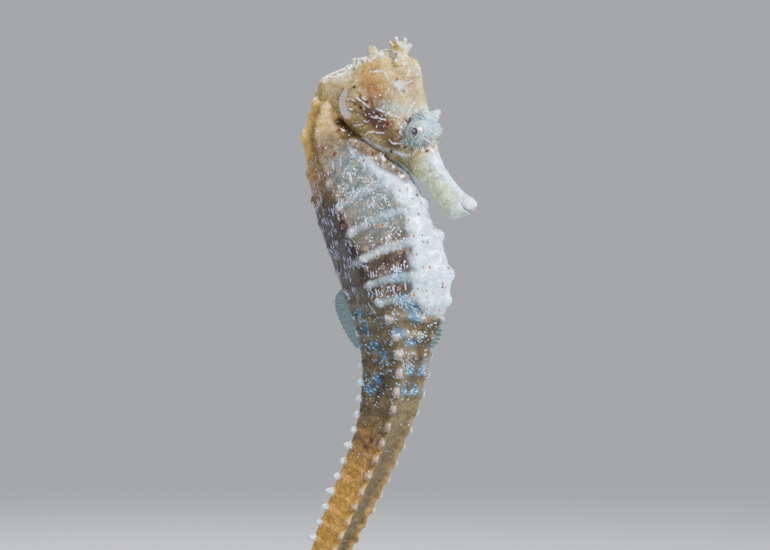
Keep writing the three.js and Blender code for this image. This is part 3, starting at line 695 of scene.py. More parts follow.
skin_points = numbers(skin_mesh, "co")
skin_normals = numbers(skin_mesh, "normal")
skin_at = whereabouts(skin_points)
skin_lift = skin_relief(skin_at, skin_points) + beads(skin_points)
skin_mesh.vertices.foreach_set("co", (skin_points + skin_normals * skin_lift[:, None]).ravel())
thin_out = skin.modifiers.new("thin_out", "DECIMATE")
thin_out.ratio = SKIN_TRIANGLES / (2 * len(skin_mesh.polygons))
skin_mesh = finished(skin)
skin_mesh.shade_smooth()


# ---------- skin: markings ----------
# Cream and orange-brown on the head, yellow on the neck, a white belly under pale blue-grey
# flanks, brown on the back and a tawny tail. Rusty dots, and streaks and flecks of a pearly
# lilac and blue, partly their own colour and partly painted glints, lie over these, and the
# knobs and lips are nearly white. Painted shade lies in the fold under the gill cover and in
# the ripples of the belly, and painted highlights lie on the forehead, the welts and the jaw's
# edge.

skin_points = numbers(skin_mesh, "co")
skin_at = whereabouts(skin_points)

CREAM = (0.4, 0.33, 0.15)
WHITE = (0.52, 0.68, 0.82)
PEARL = (0.16, 0.36, 0.52)
BROWN = (0.075, 0.042, 0.025)
ORANGE_BROWN = (0.15, 0.07, 0.022)
YELLOW = (0.64, 0.46, 0.11)
OLIVE = (0.06, 0.04, 0.014)
GREY_BLUE = (0.12, 0.145, 0.145)
TAN = (0.13, 0.1, 0.062)
TAWNY = (0.42, 0.25, 0.055)
SMOKE = (0.085, 0.075, 0.07)
SKY = (0.02, 0.2, 0.42)
MAROON = (0.03, 0.011, 0.01)
PINK = (0.55, 0.42, 0.4)
SHELL = (0.42, 0.46, 0.5)

# Places on the body are given by their distance along it and round it from the back. The white
# of the belly starts at its edge, and the fold of the gill cover lies on the throat, where its
# shade is painted.
WHITE_EDGE = [(10, 13), (16, 14.8), (24, 20), (30, 22.2), (42, 19.6), (47, 20.2)]
GILL_FOLD = [(6.5, 9.3), (10, 11.5), (17, 17), (22, 21.5), (26.5, 25)]
SKY_PATCHES = [
    (53.7, 7.8), (55.3, 10), (50.6, 14.8), (52.5, 16.3), (57.5, 16.2), (60.3, 7.8), (50.7, 6.1),
    (40.8, 17.1), (47.4, 6), (46.5, 18.4), (61.4, 15.2), (47.9, 18.2), (62.4, 6.5), (44.9, 17.4),
]
DARK_BLOTCHES = [  # along, round, length, width
    (27.4, 9.6, 1.7, 1), (33.1, 9.7, 1.6, 0.9), (38.6, 10.2, 1.6, 0.9), (24, 9.9, 0.9, 0.6),
    (21.8, 6.2, 0.8, 0.6), (37.6, 15.6, 1.2, 1), (38.3, 18, 0.9, 0.8), (43, 15.6, 0.8, 1.4),
    (59.6, 9.1, 0.7, 0.7), (63, 8.2, 1.2, 0.7), (61.2, 9.6, 0.5, 0.9), (73.6, 7, 0.7, 0.7),
    (71.7, 8, 0.6, 0.5),
]


def paint(tint, colour, weight):
    """Lays a colour over the tint, as strongly as the weight says."""
    tint += (np.array(colour) - tint) * np.clip(weight, 0, 1)[:, None]


def patch(x, y, centre, reach):
    """A soft oval patch: 1 at its centre, fading over its reach."""
    return np.exp(-(((x - centre[0]) / reach[0]) ** 2 + ((y - centre[1]) / reach[1]) ** 2))


def wetted(tint):
    """Wet skin shows deeper and stronger colours than the pigments in it."""
    tone = (tint @ (0.3, 0.5, 0.2))[:, None]
    return np.clip(tone ** 1.15 * (tint / tone) ** 1.35, 0, 0.95)


def body_tint(at):
    """The colour of each point of the neck, the trunk and the tail."""
    s, belt, around = at["along"], at["belt"], at["around"]
    wander = ripple(np.stack([s, around], -1), 5, 11)
    blot = ripple(np.stack([s, around], -1), 2.2, 13)
    tint = np.tile(np.array(TAN), (len(s), 1))
    paint(tint, (0.5, 0.37, 0.15), fall(s, 6, 12) * ramp(belt, 0.8, 1.8))
    paint(tint, (0.24, 0.16, 0.07), fall(s + wander, 16, 24) * fall(belt, 1.5, 2.2))
    paint(tint, YELLOW, fall(s + wander, 9, 17) * fall(belt + 0.2 * blot, 1, 1.9))
    paint(tint, SMOKE, ramp(s + wander, 18, 26) * fall(belt + 0.1 * blot, 1.6, 2.2))
    flank = band(s, 12, 18, 30, 38) * ramp(belt + 0.12 * blot, 1.8, 2.5)
    paint(tint, GREY_BLUE, 0.9 * flank)
    low_flank = band(s, 30, 38, 44, 52) * ramp(belt, 1.5, 2)
    paint(tint, (0.07, 0.056, 0.044), low_flank)
    paint(tint, (0.12, 0.095, 0.055), 0.85 * band(s, 42, 50, 60, 66))
    on_crest = ramp(np.clip(at["crest"] / 0.5, 0, 1) * ramp(belt, 1.75, 2.1), 0.35, 1)
    paint(tint, (0.25, 0.33, 0.38), 0.6 * on_crest * band(s, 17, 24, 43, 49))
    middle = band(s, 33, 36, 39, 42)
    paint(tint, SHELL, 0.5 * on_crest * middle * ramp(belt, 2, 2.2))
    white_from = read_one(WHITE_EDGE, s)
    white = ramp(s, 11, 16) * fall(s + 0.5 * wander, 45.5, 48.5)
    paint(tint, WHITE, white * ramp(around + 0.6 * blot + 0.3 * wander - white_from, -0.9, 1.3))
    # Painted shade: blue-grey in the hollows of the belly's ripples.
    belly_ripple_shade = ripple(np.stack([s, around * 0.4], -1), 1.3, 2)
    in_white = white * ramp(around - white_from, 0, 1) * ramp(s, 22, 36)
    paint(tint, (0.26, 0.34, 0.43), 0.7 * in_white * ramp(belly_ripple_shade, 0.1, 0.9))
    paint(tint, OLIVE, 0.85 * band(s, 47, 50, 60, 72) * ramp(belt, 2.5, 3.2))
    paint(tint, (0.12, 0.095, 0.05), 0.8 * band(s, 60, 64, 68, 76))
    below = belt + 0.4 * blot
    paint(tint, TAWNY, 0.95 * ramp(s + 2 * wander, 64, 86) * fall(below, 1.9, 3.6))
    paint(tint, (0.085, 0.068, 0.034), 0.9 * ramp(s, 62, 74) * ramp(below, 1.8, 3.4))
    paint(tint, (0.06, 0.045, 0.022), 0.5 * ramp(s, 66, 80) * ramp(blot, 0.2, 1) * ramp(belt, 1, 2))
    paint(tint, (0.2, 0.14, 0.06), 0.6 * ramp(s, 100, 125))
    # Painted shade: olive-brown under the fold of the gill cover, and darker still in its crease.
    fold = from_line(s, around, GILL_FOLD)
    shade_under_fold = from_line(s, around - 1.3, GILL_FOLD)
    shade_under_fold = np.exp(-(shade_under_fold / 1.2) ** 4) * fall(s, 21, 26)
    paint(tint, (0.15, 0.105, 0.055), 0.9 * shade_under_fold)
    paint(tint, (0.085, 0.058, 0.026), 0.95 * np.exp(-(fold / 1.1) ** 4) * fall(s, 25, 28))
    for *centre, length, width in DARK_BLOTCHES:
        paint(tint, MAROON, 0.85 * patch(s + 0.3 * blot, around, centre, (length, width)))
    for centre in SKY_PATCHES:
        paint(tint, SKY, 0.45 * patch(s, around + 0.3 * blot, centre, (0.8, 1.1)))
    tip = ramp(at["knobs"], 0.1, 0.5)
    in_tail = ramp(s, 50, 56)
    paint(tint, WHITE, 0.95 * tip[:, 1] * ramp(s, 20, 56))
    paint(tint, SHELL, 0.55 * ramp(at["knobs"][:, 2], 0.25, 0.55) * (1 - in_tail))
    paint(tint, PINK, tip[:, 2] * in_tail * (0.75 - 0.45 * ramp(s, 60, 66)) * (at["side"] > 0))
    paint(tint, WHITE, 0.85 * tip[:, 2] * in_tail * (at["side"] <= 0))
    paint(tint, WHITE, 0.7 * np.maximum(tip[:, 3], tip[:, 4]) * (1 - 0.7 * ramp(s, 46, 50)))
    return wetted(tint)


def head_tint(at):
    """The colour of each point of the head: t is along its axis and n above it."""
    t, n = at["t"], at["n"]
    wander = ripple(np.stack([t, n], -1), 3, 12)
    blot = ripple(np.stack([t, n], -1), 1.4, 14)
    tint = np.tile(np.array(CREAM), (len(t), 1))
    paint(tint, (0.62, 0.47, 0.15), 0.8 * patch(t, n + 0.4 * blot, (0.8, 9.6), (4.2, 2)))
    paint(tint, (0.36, 0.22, 0.06), 0.9 * patch(t, n + 0.4 * blot, (1.6, 6), (3.6, 2.6)))
    paint(tint, (0.26, 0.16, 0.09), 0.7 * patch(t, n, (9, 8.5), (3.5, 3)))
    paint(tint, ORANGE_BROWN, 0.95 * patch(t, n + 0.3 * blot, (5.8, 3.8), (4.2, 2.3)))
    paint(tint, BROWN, 1.2 * patch(t, n + 0.4 * wander, (9.4, 0.2), (5, 3)))
    paint(tint, BROWN, 0.9 * patch(t, n, (14.4, -0.8), (2.6, 2)))
    paint(tint, (0.28, 0.2, 0.13), 0.8 * patch(t, n, (1.2, -1.6), (3, 2.6)))
    paint(tint, (0.2, 0.13, 0.08), 0.6 * patch(t, n, (3.5, -4.2), (3, 1.2)))
    shine = swell(from_line(t, n, [(9, 3.3), (11.5, 4.4), (14, 5.6)]), 1.1)
    paint(tint, PEARL, 0.55 * shine * ramp(blot, -0.8, 0.8))
    # Painted sheen: a white patch high on the cheek.
    paint(tint, WHITE, 0.7 * patch(t, n + 0.3 * blot, (8.2, 7.6), (1.1, 0.55)))
    paint(tint, (0.15, 0.15, 0.1), 0.85 * patch(t, n, (18.9, -1.6), (2.6, 2.2)))
    paint(tint, WHITE, 0.85 * patch(t, n + 0.3 * blot, (16.8, 6.9), (2.4, 1.7)))
    # Painted highlight: white on the front of the forehead.
    paint(tint, WHITE, 0.8 * patch(t, n, (8.2, 12.6), (1.8, 1.0)))
    beyond = np.hypot(t - EYE["along"], n - EYE["rise"])
    paint(tint, (0.11, 0.15, 0.17), 0.55 * swell(beyond - 2.7, 0.9))
    paint(tint, PEARL, 0.45 * swell(beyond - TURRET_FOLDS["from"], 0.6) * ramp(blot, -1, 0.6))
    snout = ramp(t, 19.5, 23)
    paint(tint, (0.44, 0.5, 0.36), snout)
    for centre in [(22.4, 0.9), (23.6, -0.2), (25.9, 0.3)]:
        paint(tint, (0.17, 0.19, 0.18), 0.6 * patch(t, n + 0.3 * blot, centre, (0.9, 0.55)))
    ridge = np.interp(t, *np.array(SNOUT_RIDGE).T)
    paint(tint, WHITE, snout * ramp(n - ridge + 0.15 * blot, -0.7, 0.2))
    paint(tint, (0.46, 0.48, 0.26), 0.8 * snout * ramp(-n, 2.6, 3.8) * ramp(t, 20, 24))
    paint(tint, (0.5, 0.6, 0.66), 0.6 * ramp(t, 29, 32.6))
    # The pale edge of the jaw, partly its own colour and partly a painted highlight.
    paint(tint, SHELL, 0.8 * swell(from_line(t, n, JAW_LINE), 0.4) * fall(t, 19, 22))
    paint(tint, (0.5, 0.46, 0.38), 0.5 * ramp(-t, 0, 2.4) * ramp(n, -1.5, 1))
    paint(tint, (0.5, 0.38, 0.12), 0.9 * ramp(n, 11.2, 12.2))
    paint(tint, (0.66, 0.7, 0.7), 0.7 * ramp(n, 12.7, 13.3))
    knob_centre = (GILL_KNOB["along"], GILL_KNOB["rise"])
    paint(tint, (0.5, 0.4, 0.24), 0.8 * patch(t, n, knob_centre, (0.8, 0.8)))
    return wetted(tint)


DARK_SPOTS = [  # on the head, along and above its axis, and the radius
    (5.9, 1.5, 0.42), (5.5, -0.3, 0.4), (11.6, 0.9, 0.42), (15.3, -2.5, 0.36), (13.9, 1.2, 0.3),
    (15.3, 0.4, 0.26), (16.9, -0.1, 0.3), (18.2, 0.5, 0.26), (20.3, 1.9, 0.42), (13.6, 3.6, 0.3),
    (1.75, 1.7, 0.4), (7, 8.1, 0.34), (9.3, 7.3, 0.34), (9, 10.1, 0.26), (8.2, 6.8, 0.25),
    (8.5, 3, 0.25), (3.3, 11.4, 0.3), (4.1, -0.6, 0.3), (0.2, -0.2, 0.22), (4.2, 1.5, 0.3),
    (19.5, 0.9, 0.2), (23.3, -0.5, 0.24), (25.2, -0.5, 0.2), (14.2, -2.3, 0.24), (12.6, -1.6, 0.2),
]
BODY_SPOTS = [(9.7, 10.5, 0.42), (14.8, 11.1, 0.42), (18.8, 18.7, 0.36), (13.9, 16.4, 0.3),
              (28.5, 25.4, 0.42), (12.4, 8.1, 0.3), (8.2, 6.4, 0.26)]


def nearest_spot(x, y, spots):
    """The distance to the edge of the nearest spot, in millimetres."""
    return np.min([np.hypot(x - u, y - v) - radius for u, v, radius in spots], axis=0)


def fill(mesh, name, values):
    """Keeps a colour, a vector or a number for each point of a mesh, by how many values it has."""
    kind, what = {
        4: ("FLOAT_COLOR", "color"), 3: ("FLOAT_VECTOR", "vector"), 1: ("FLOAT", "value"),
    }[values.size // len(mesh.vertices)]
    layer = mesh.attributes.new(name, kind, "POINT")
    layer.data.foreach_set(what, np.ascontiguousarray(values, dtype=np.float32).ravel())


on_head, t, n = skin_at["on_head"], skin_at["t"], skin_at["n"]
s, around, belt = skin_at["along"], skin_at["around"], skin_at["belt"]
opaque, no_depth = np.ones(len(s)), np.zeros(len(s))
tint = np.where(on_head[:, None], head_tint(skin_at), body_tint(skin_at))
beaded = np.clip(beads(skin_points) / 0.15, 0, 1)
beaded_tint = np.where((t > 12)[:, None], (0.25, 0.5, 0.66), (0.62, 0.68, 0.72))
tint += (beaded_tint - tint) * 0.38 * beaded[:, None]
fill(skin_mesh, "tint", np.column_stack([tint, opaque]))
fill(skin_mesh, "lie", np.column_stack([
    np.where(on_head, -t - 2.5, s), np.where(on_head, skin_at["head_around"], around), no_depth,
]))
wobble = 0.12 * ripple(np.stack([t, n], -1), 0.9, 21)
fill(skin_mesh, "spot_gap", np.where(
    on_head, nearest_spot(t, n + wobble, DARK_SPOTS), nearest_spot(s, around + wobble, BODY_SPOTS)
))
welt_gap = np.min([from_line(t, n + wobble, line) for line in WELTS], axis=0)
sided = ramp(np.abs(skin_at["side"]), 0.8, 1.6)
fill(skin_mesh, "welt_gap", np.where(on_head, welt_gap, 9) + 2 * (1 - sided))

near_eye = swell(np.hypot(t - EYE["along"], n - EYE["rise"]) - 2.6, 1.2)
shine = swell(from_line(t, n, [(8.5, 2.6), (11.5, 3.8), (14, 5)]), 1.3)
nape = ramp(-t, -1, 1.5) * ramp(n, -1, 2)
head_dots = 0.1 * fall(t, 19, 22)
body_dots = 0.85 * band(s, 12, 17, 44, 50) * ramp(belt, 1.5, 2.1)
body_dots += 0.04 * fall(s, 60, 66)
# The streaks on the back and the flecks are partly the skin's own pearly colour and partly painted
# glints.
pearl_glint_streaks = band(s, 12, 20, 40, 48) * (0.7 * fall(belt, 1.9, 2.3) + 0.3)
pearl_glint_streaks *= 1 - 0.7 * ramp(belt, 2.9, 3.2)
dashes = 0.3 * band(s, 42, 50, 60, 66) * fall(belt, 2.2, 2.8)
dashes += 0.75 * np.max([patch(s, around, centre, (1.3, 1.5)) for centre in SKY_PATCHES], axis=0)
head_pearl_glint_flecks = 0.1 + 0.55 * near_eye + 0.45 * shine + 0.4 * nape + 0.15 * ramp(n, 9, 12)
head_pearl_glint_flecks -= 0.06 * ramp(t, 22, 26)
body_pearl_glint_flecks = 0.3 * band(s, 15, 22, 50, 62) * ramp(belt, 1.6, 2.4)
body_pearl_glint_flecks += 0.1 - 0.07 * ramp(s, 62, 72)
fill(skin_mesh, "marks", np.column_stack([
    np.where(on_head, head_dots, body_dots), np.where(on_head, 0, pearl_glint_streaks),
    np.where(on_head, 0, dashes), opaque,
]))
fill(skin_mesh, "pearl_glint_flecks", np.where(on_head, head_pearl_glint_flecks, body_pearl_glint_flecks))
head_blue = 0.7 * np.maximum(near_eye, shine)
fill(skin_mesh, "blue", np.where(on_head, head_blue, 0.2 + 0.8 * ramp(s, 38, 50)))
skin_mesh.transform(Matrix.Scale(MM, 4))


class Nodes:
    """Adds nodes to a material and joins them."""

    def __init__(self, name):
        self.material = bpy.data.materials.new(name)
        self.material.use_nodes = True
        self.tree = self.material.node_tree
        self.shader = self.tree.nodes["Principled BSDF"]

    def feed(self, socket, value):
        if isinstance(value, bpy.types.NodeSocket):
            self.tree.links.new(value, socket)
        else:
            socket.default_value = value

    def add(self, kind, inputs=None, **settings):
        node = self.tree.nodes.new(f"ShaderNode{kind}")
        for name, value in settings.items():
            setattr(node, name, value)
        for name, value in (inputs or {}).items():
            self.feed(node.inputs[name], value)
        return node

    def math(self, operation, *values):
        node = self.add("Math", operation=operation)
        for socket, value in zip(node.inputs, values):
            self.feed(socket, value)
        return node.outputs[0]

    def mix(self, share, first, second, blend="MIX"):
        node = self.add("Mix", data_type="RGBA", blend_type=blend)
        self.feed(node.inputs["Factor"], share)
        self.feed(node.inputs[6], first)
        self.feed(node.inputs[7], second)
        return node.outputs[2]

    def step(self, value, low, high):
        """From 0 at the low value to 1 at the high one."""
        node = self.add("MapRange", {"Value": value, "From Min": low, "From Max": high},
                        interpolation_type="SMOOTHSTEP")
        return node.outputs["Result"]

    def within(self, value, near, far):
        """From 1 at the near value to 0 at the far one."""
        return self.math("SUBTRACT", 1.0, self.step(value, near, far))

    def stretched(self, vector, scale):
        return self.add("Mapping", {"Vector": vector, "Scale": scale}).outputs["Vector"]

    def length(self, vector):
        return self.add("VectorMath", {0: vector}, operation="LENGTH").outputs["Value"]

    def attribute(self, name, output):
        return self.add("Attribute", attribute_name=name).outputs[output]

    def noise(self, vector, scale, detail, **more):
        inputs = {"Vector": vector, "Scale": scale, "Detail": detail, **more}
        return self.add("TexNoise", inputs).outputs["Fac"]

    def bump(self, height, strength, distance):
        inputs = {"Height": height, "Strength": strength, "Distance": distance}
        self.set(Normal=self.add("Bump", inputs).outputs["Normal"])

    def set(self, **values):
        """Sets or joins sockets of the shader."""
        for name, value in values.items():
            self.feed(self.shader.inputs[name.replace("_", " ")], value)


skin_look = Nodes("skin")
lie_at = skin_look.attribute("lie", "Vector")
tint_at = skin_look.attribute("tint", "Color")
marks_at = skin_look.add("SeparateColor", {"Color": skin_look.attribute("marks", "Color")})
dots_at, pearl_glint_streaks_at, dashes_at = marks_at.outputs
spot_gap_at, welt_gap_at, pearl_glint_flecks_at, blue_at = (
    skin_look.attribute(name, "Fac") for name in ("spot_gap", "welt_gap", "pearl_glint_flecks", "blue"))


def scattered(size, amount, reach, edge, slant=0.0):
    """Marks scattered over the skin: where they are, and a random number for each. The size is
    along and round the body, in millimetres, and the amount is the share of cells with one."""
    turned_at = skin_look.add("Mapping", {"Vector": lie_at, "Rotation": (0, 0, slant)})
    squeezed = skin_look.stretched(turned_at.outputs[0], (1 / size[0], 1 / size[1], 1))
    cells = skin_look.add("TexVoronoi", {"Vector": squeezed, "Scale": 1.0},
                          voronoi_dimensions="2D")
    chance = skin_look.add("SeparateColor", {"Color": cells.outputs["Color"]})
    here = skin_look.math("LESS_THAN", chance.outputs[0], amount)
    width = skin_look.math("MULTIPLY_ADD", chance.outputs[2], 0.6, 0.65)
    gap = skin_look.math("DIVIDE", cells.outputs["Distance"], width)
    shape = skin_look.within(gap, reach, edge)
    return skin_look.math("MULTIPLY", shape, here), chance.outputs[1]


skin_at_rest = skin_look.add("TexCoord").outputs["Object"]
mottle = skin_look.noise(skin_at_rest, 550, 7, Roughness=0.68, Distortion=0.4)
grain = skin_look.noise(skin_at_rest, 2200, 4, Roughness=0.7)
shade = skin_look.math("MULTIPLY", skin_look.step(mottle, 0.3, 0.7),
                       skin_look.step(grain, 0.25, 0.75))
shade = skin_look.math("MULTIPLY_ADD", shade, 1.5, 0.55)
shade_colour = skin_look.add("CombineColor", {"Red": shade, "Green": shade, "Blue": shade})
skin_colour = skin_look.mix(1.0, tint_at, shade_colour.outputs[0], "MULTIPLY")
crowded = skin_look.step(skin_look.noise(skin_at_rest, 420, 2), 0.44, 0.62)


def thronged(amount, most, least):
    """The same share of marks, gathered in throngs with bare skin between them."""
    return skin_look.math("MULTIPLY", amount, skin_look.math("MULTIPLY_ADD", crowded, most, least))


halo, _ = scattered((2.1, 2.1), dots_at, 0.12, 0.27)
skin_colour = skin_look.mix(skin_look.math("MULTIPLY", halo, 0.22), skin_colour,
                            (0.5, 0.46, 0.36, 1))
# Pearly streaks and flecks: partly the skin's own colour and partly painted glints.
pearl_glint_streak, pearl_glint_streak_hue = scattered((3.2, 0.34), thronged(pearl_glint_streaks_at, 1.2, 0.25), 0.08, 0.3, 0.04)
pearl_glint_streak_colour = skin_look.mix(pearl_glint_streak_hue, (0.34, 0.33, 0.7, 1), (0.7, 0.82, 1, 1))
skin_colour = skin_look.mix(pearl_glint_streak, skin_colour, pearl_glint_streak_colour)
dash, dash_hue = scattered((0.42, 1.3), thronged(dashes_at, 1.3, 0.3), 0.14, 0.32, 0.35)
dash_colour = skin_look.mix(dash_hue, (0.01, 0.26, 0.6, 1), (0.3, 0.68, 0.9, 1))
skin_colour = skin_look.mix(dash, skin_colour, dash_colour)
pearl_glint_fleck, pearl_glint_fleck_hue = scattered((0.62, 0.42), thronged(pearl_glint_flecks_at, 1.7, 0.12), 0.12, 0.3, 0.5)
white_pearl_glint_fleck = skin_look.mix(pearl_glint_fleck_hue, (0.62, 0.62, 0.9, 1), (0.9, 0.93, 1, 1))
blue_pearl_glint_fleck = skin_look.mix(pearl_glint_fleck_hue, (0.08, 0.42, 0.66, 1), (0.7, 0.88, 1, 1))
skin_colour = skin_look.mix(skin_look.math("MULTIPLY", pearl_glint_fleck, 0.85), skin_colour,
                            skin_look.mix(blue_at, white_pearl_glint_fleck, blue_pearl_glint_fleck))
dot, dot_hue = scattered((2.1, 2.1), dots_at, 0.06, 0.15)
dot_colour = skin_look.mix(dot_hue, (0.24, 0.06, 0.005, 1), (0.08, 0.02, 0.006, 1))
skin_colour = skin_look.mix(dot, skin_colour, dot_colour)
# Lilac-white on the welts: partly their own colour and partly a painted sheen.
welt_break = skin_look.step(skin_look.noise(lie_at, 2.6, 2), 0.38, 0.5)
welt_and_sheen = skin_look.math("MULTIPLY", skin_look.within(welt_gap_at, 0.03, 0.17), welt_break)
skin_colour = skin_look.mix(welt_and_sheen, skin_colour, (0.74, 0.76, 0.98, 1))
spot = skin_look.within(spot_gap_at, -0.2, 0.1)
skin_colour = skin_look.mix(spot, skin_colour, (0.03, 0.008, 0.006, 1))
spot_rim = skin_look.math("SUBTRACT", skin_look.step(spot_gap_at, -0.1, 0.08),
                          skin_look.step(spot_gap_at, 0.05, 0.3))
skin_colour = skin_look.mix(skin_look.math("MULTIPLY", spot_rim, 0.6), skin_colour,
                            (0.16, 0.05, 0.014, 1))
skin_look.set(
    Base_Color=skin_colour, Roughness=skin_look.math("MULTIPLY_ADD", grain, 0.3, 0.22),
    Subsurface_Weight=0.08, Subsurface_Radius=(0.9, 0.55, 0.3), Subsurface_Scale=0.0006,
    Specular_IOR_Level=0.18, Coat_Weight=0.35, Coat_Roughness=0.1,
)
fine = skin_look.add("TexVoronoi", {"Vector": skin_at_rest, "Scale": 1500.0}, feature="SMOOTH_F1")
pores = skin_look.noise(skin_at_rest, 4500, 3, Roughness=0.7)
height = skin_look.math("MULTIPLY_ADD", fine.outputs["Distance"], -0.7,
                        skin_look.math("MULTIPLY", pores, 0.5))
for raised_mark in (pearl_glint_fleck, pearl_glint_streak):
    height = skin_look.math("MULTIPLY_ADD", raised_mark, 0.25, height)
skin_look.bump(height, 0.6, 0.00022)
skin_mesh.materials.clear()
skin_mesh.materials.append(skin_look.material)
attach(skin, "root")
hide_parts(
    "head", "snout", "coronet", "neck", "trunk_upper", "trunk_lower",
    *(f"tail_{number}" for number in range(1, 10)),
)


# ---------- eyes ----------
# The eyes are glossy beads set in the turrets: a small, dark, upright pupil in an iris of pale
# blue and rusty specks, which hides the eye in the face, under a slightly bulged cornea. A cream
# reflection is painted on the iris.

EYE_LOOK = {"right": Vector((0.1, -1, 0.02)), "left": Vector((0.1, 1, 0.02))}
CORNEA_BULGE = 0.1
CORNEA_EDGE = math.radians(42)
PUPIL = (0.56, 0.76)  # half its width and height
# A painted reflection on the iris: its offset from the pupil and its half sizes.
CREAM_REFLECTION = {"place": (-1.2, -0.72, 0), "half": (0.8, 0.55)}

SPECKS = [  # scale of the cells, share of them with a speck, colour
    (3.4, 0.4, (0.6, 0.76, 0.86, 1)), (2.9, 0.3, (0.02, 0.14, 0.2, 1)),
    (2.3, 0.3, (0.1, 0.022, 0.008, 1)),
]

eye_look = Nodes("eye")
gaze_at = eye_look.attribute("gaze", "Vector")
iris_cloud = eye_look.noise(gaze_at, 1.6, 5)
iris_colour = eye_look.mix(
    eye_look.step(iris_cloud, 0.35, 0.65), (0.05, 0.1, 0.12, 1), (0.2, 0.29, 0.32, 1))
for scale, share, colour in SPECKS:
    speckle = eye_look.add("TexVoronoi", {"Vector": gaze_at, "Scale": scale})
    chance = eye_look.add("SeparateColor", {"Color": speckle.outputs["Color"]}).outputs[0]
    speck = eye_look.within(speckle.outputs["Distance"], 0.2, 0.42)
    speck = eye_look.math("MULTIPLY", speck, eye_look.math("LESS_THAN", chance, share))
    iris_colour = eye_look.mix(speck, iris_colour, colour)
# Painted reflection: a cream patch on the iris.
reflection_half = CREAM_REFLECTION["half"]
reflection_at = eye_look.add("VectorMath", {0: gaze_at, 1: CREAM_REFLECTION["place"]}, operation="ADD")
reflection_at = eye_look.stretched(reflection_at.outputs[0], (1 / reflection_half[0], 1 / reflection_half[1], 0))
reflection_reach = eye_look.math("ADD", eye_look.length(reflection_at),
                            eye_look.math("MULTIPLY", iris_cloud, 0.5))
iris_colour = eye_look.mix(
    eye_look.within(reflection_reach, 0.9, 1.3), iris_colour, (0.7, 0.56, 0.5, 1))
pupil_reach = eye_look.length(eye_look.stretched(gaze_at, (1 / PUPIL[0], 1 / PUPIL[1], 0)))
iris_colour = eye_look.mix(
    eye_look.within(pupil_reach, 1.05, 1.3), iris_colour, (0.2, 0.13, 0.1, 1))
iris_colour = eye_look.mix(
    eye_look.within(pupil_reach, 0.9, 1.05), iris_colour, (0.012, 0.005, 0.016, 1))
eye_look.set(Base_Color=iris_colour, Roughness=0.22, Coat_Weight=1.0, Coat_Roughness=0.03)
eye_look.bump(iris_cloud, 0.15, 0.0002)

for side_name, side in SIDES.items():
    bead = bmesh.new()
    bmesh.ops.create_uvsphere(bead, u_segments=72, v_segments=56, radius=EYE["radius"])
    for vert in bead.verts:
        tilt = min(vert.co.angle(Vector((0, 0, 1))), CORNEA_EDGE)
        rise = max(0, math.cos(tilt / CORNEA_EDGE * math.pi / 2)) ** 1.5
        vert.co *= 1 + CORNEA_BULGE / EYE["radius"] * rise
    gaze = np.array([(-side * vert.co.x, vert.co.y, vert.co.z) for vert in bead.verts])
    look = EYE_LOOK[side_name].to_track_quat("Z", "Y").to_matrix().to_4x4()
    centre = Vector(in_head(EYE["along"], EYE["rise"], side * EYE["side"]))
    bmesh.ops.transform(bead, verts=bead.verts, matrix=Matrix.Translation(centre) @ look)
    eye_mesh = mesh_of(bead, f"eyeball_{side_name}")
    eye_mesh.shade_smooth()
    fill(eye_mesh, "gaze", gaze)
    eye_mesh.transform(Matrix.Scale(MM, 4))
    eyeball = placed(f"eyeball_{side_name}", eye_mesh, eye_look.material)
    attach(eyeball, "root")
    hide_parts(f"eye_{side_name}")


# ---------- fins ----------
# Each fin is a clear membrane on a fan of soft rays. The dorsal fin drives the animal, the
# pectoral fins stand behind the cheeks, and a tiny anal fin hangs at the vent.

FIN_EDGE = 0.05  # half the thickness of the membrane
RAY_HALF = 0.11  # half the thickness at a ray
RAY_WIDTH = 0.13
FIN_ROOT = 0.8  # how deep a fin is rooted
DORSAL_FIN = {"from": 40.4, "to": 56.6, "height": 3.4, "rays": 18}
ANAL_FIN = {"from": 49.5, "to": 53.3, "height": 0.9, "rays": 5}
PECTORAL_FIN = {
    "along": 4.6, "rise": 0, "side": 3.2, "root": 0.9, "radius": 4.2, "spread": 92, "flare": 13,
    "rays": 19, "notch": 0.04,
}
FIN_ROWS = 13  # points from root to edge
FIN_NOTCH = 0.05  # depth of the notches of the edge between the rays, in its height


def fin_look(name, web_colour, ray_colour):
    """Clear, clouded skin with paler, jointed rays and a paler rim."""
    look = Nodes(name)
    weave = look.add("SeparateXYZ", {"Vector": look.attribute("weave", "Vector")})
    ray, reach = weave.outputs[0], weave.outputs[1]
    cloud = look.noise(look.add("TexCoord").outputs["Object"], 1500, 4)
    web = look.mix(look.step(cloud, 0.3, 0.7), web_colour,
                   tuple(1.7 * value for value in web_colour[:3]) + (1,))
    colour = look.mix(look.step(ray, 0.25, 0.8), web, ray_colour)
    colour = look.mix(look.math("MULTIPLY", look.step(reach, 0.86, 1.0), 0.6), colour, ray_colour)
    joints = look.math("MULTIPLY", look.math("SINE", look.math("MULTIPLY", reach, 60.0)), ray)
    look.set(Base_Color=colour, Roughness=look.math("MULTIPLY_ADD", cloud, 0.3, 0.2),
             Alpha=0.78, Coat_Weight=0.4, Coat_Roughness=0.1)
    look.bump(look.math("MULTIPLY_ADD", joints, 0.3, ray), 0.5, 0.0001)
    return look.material


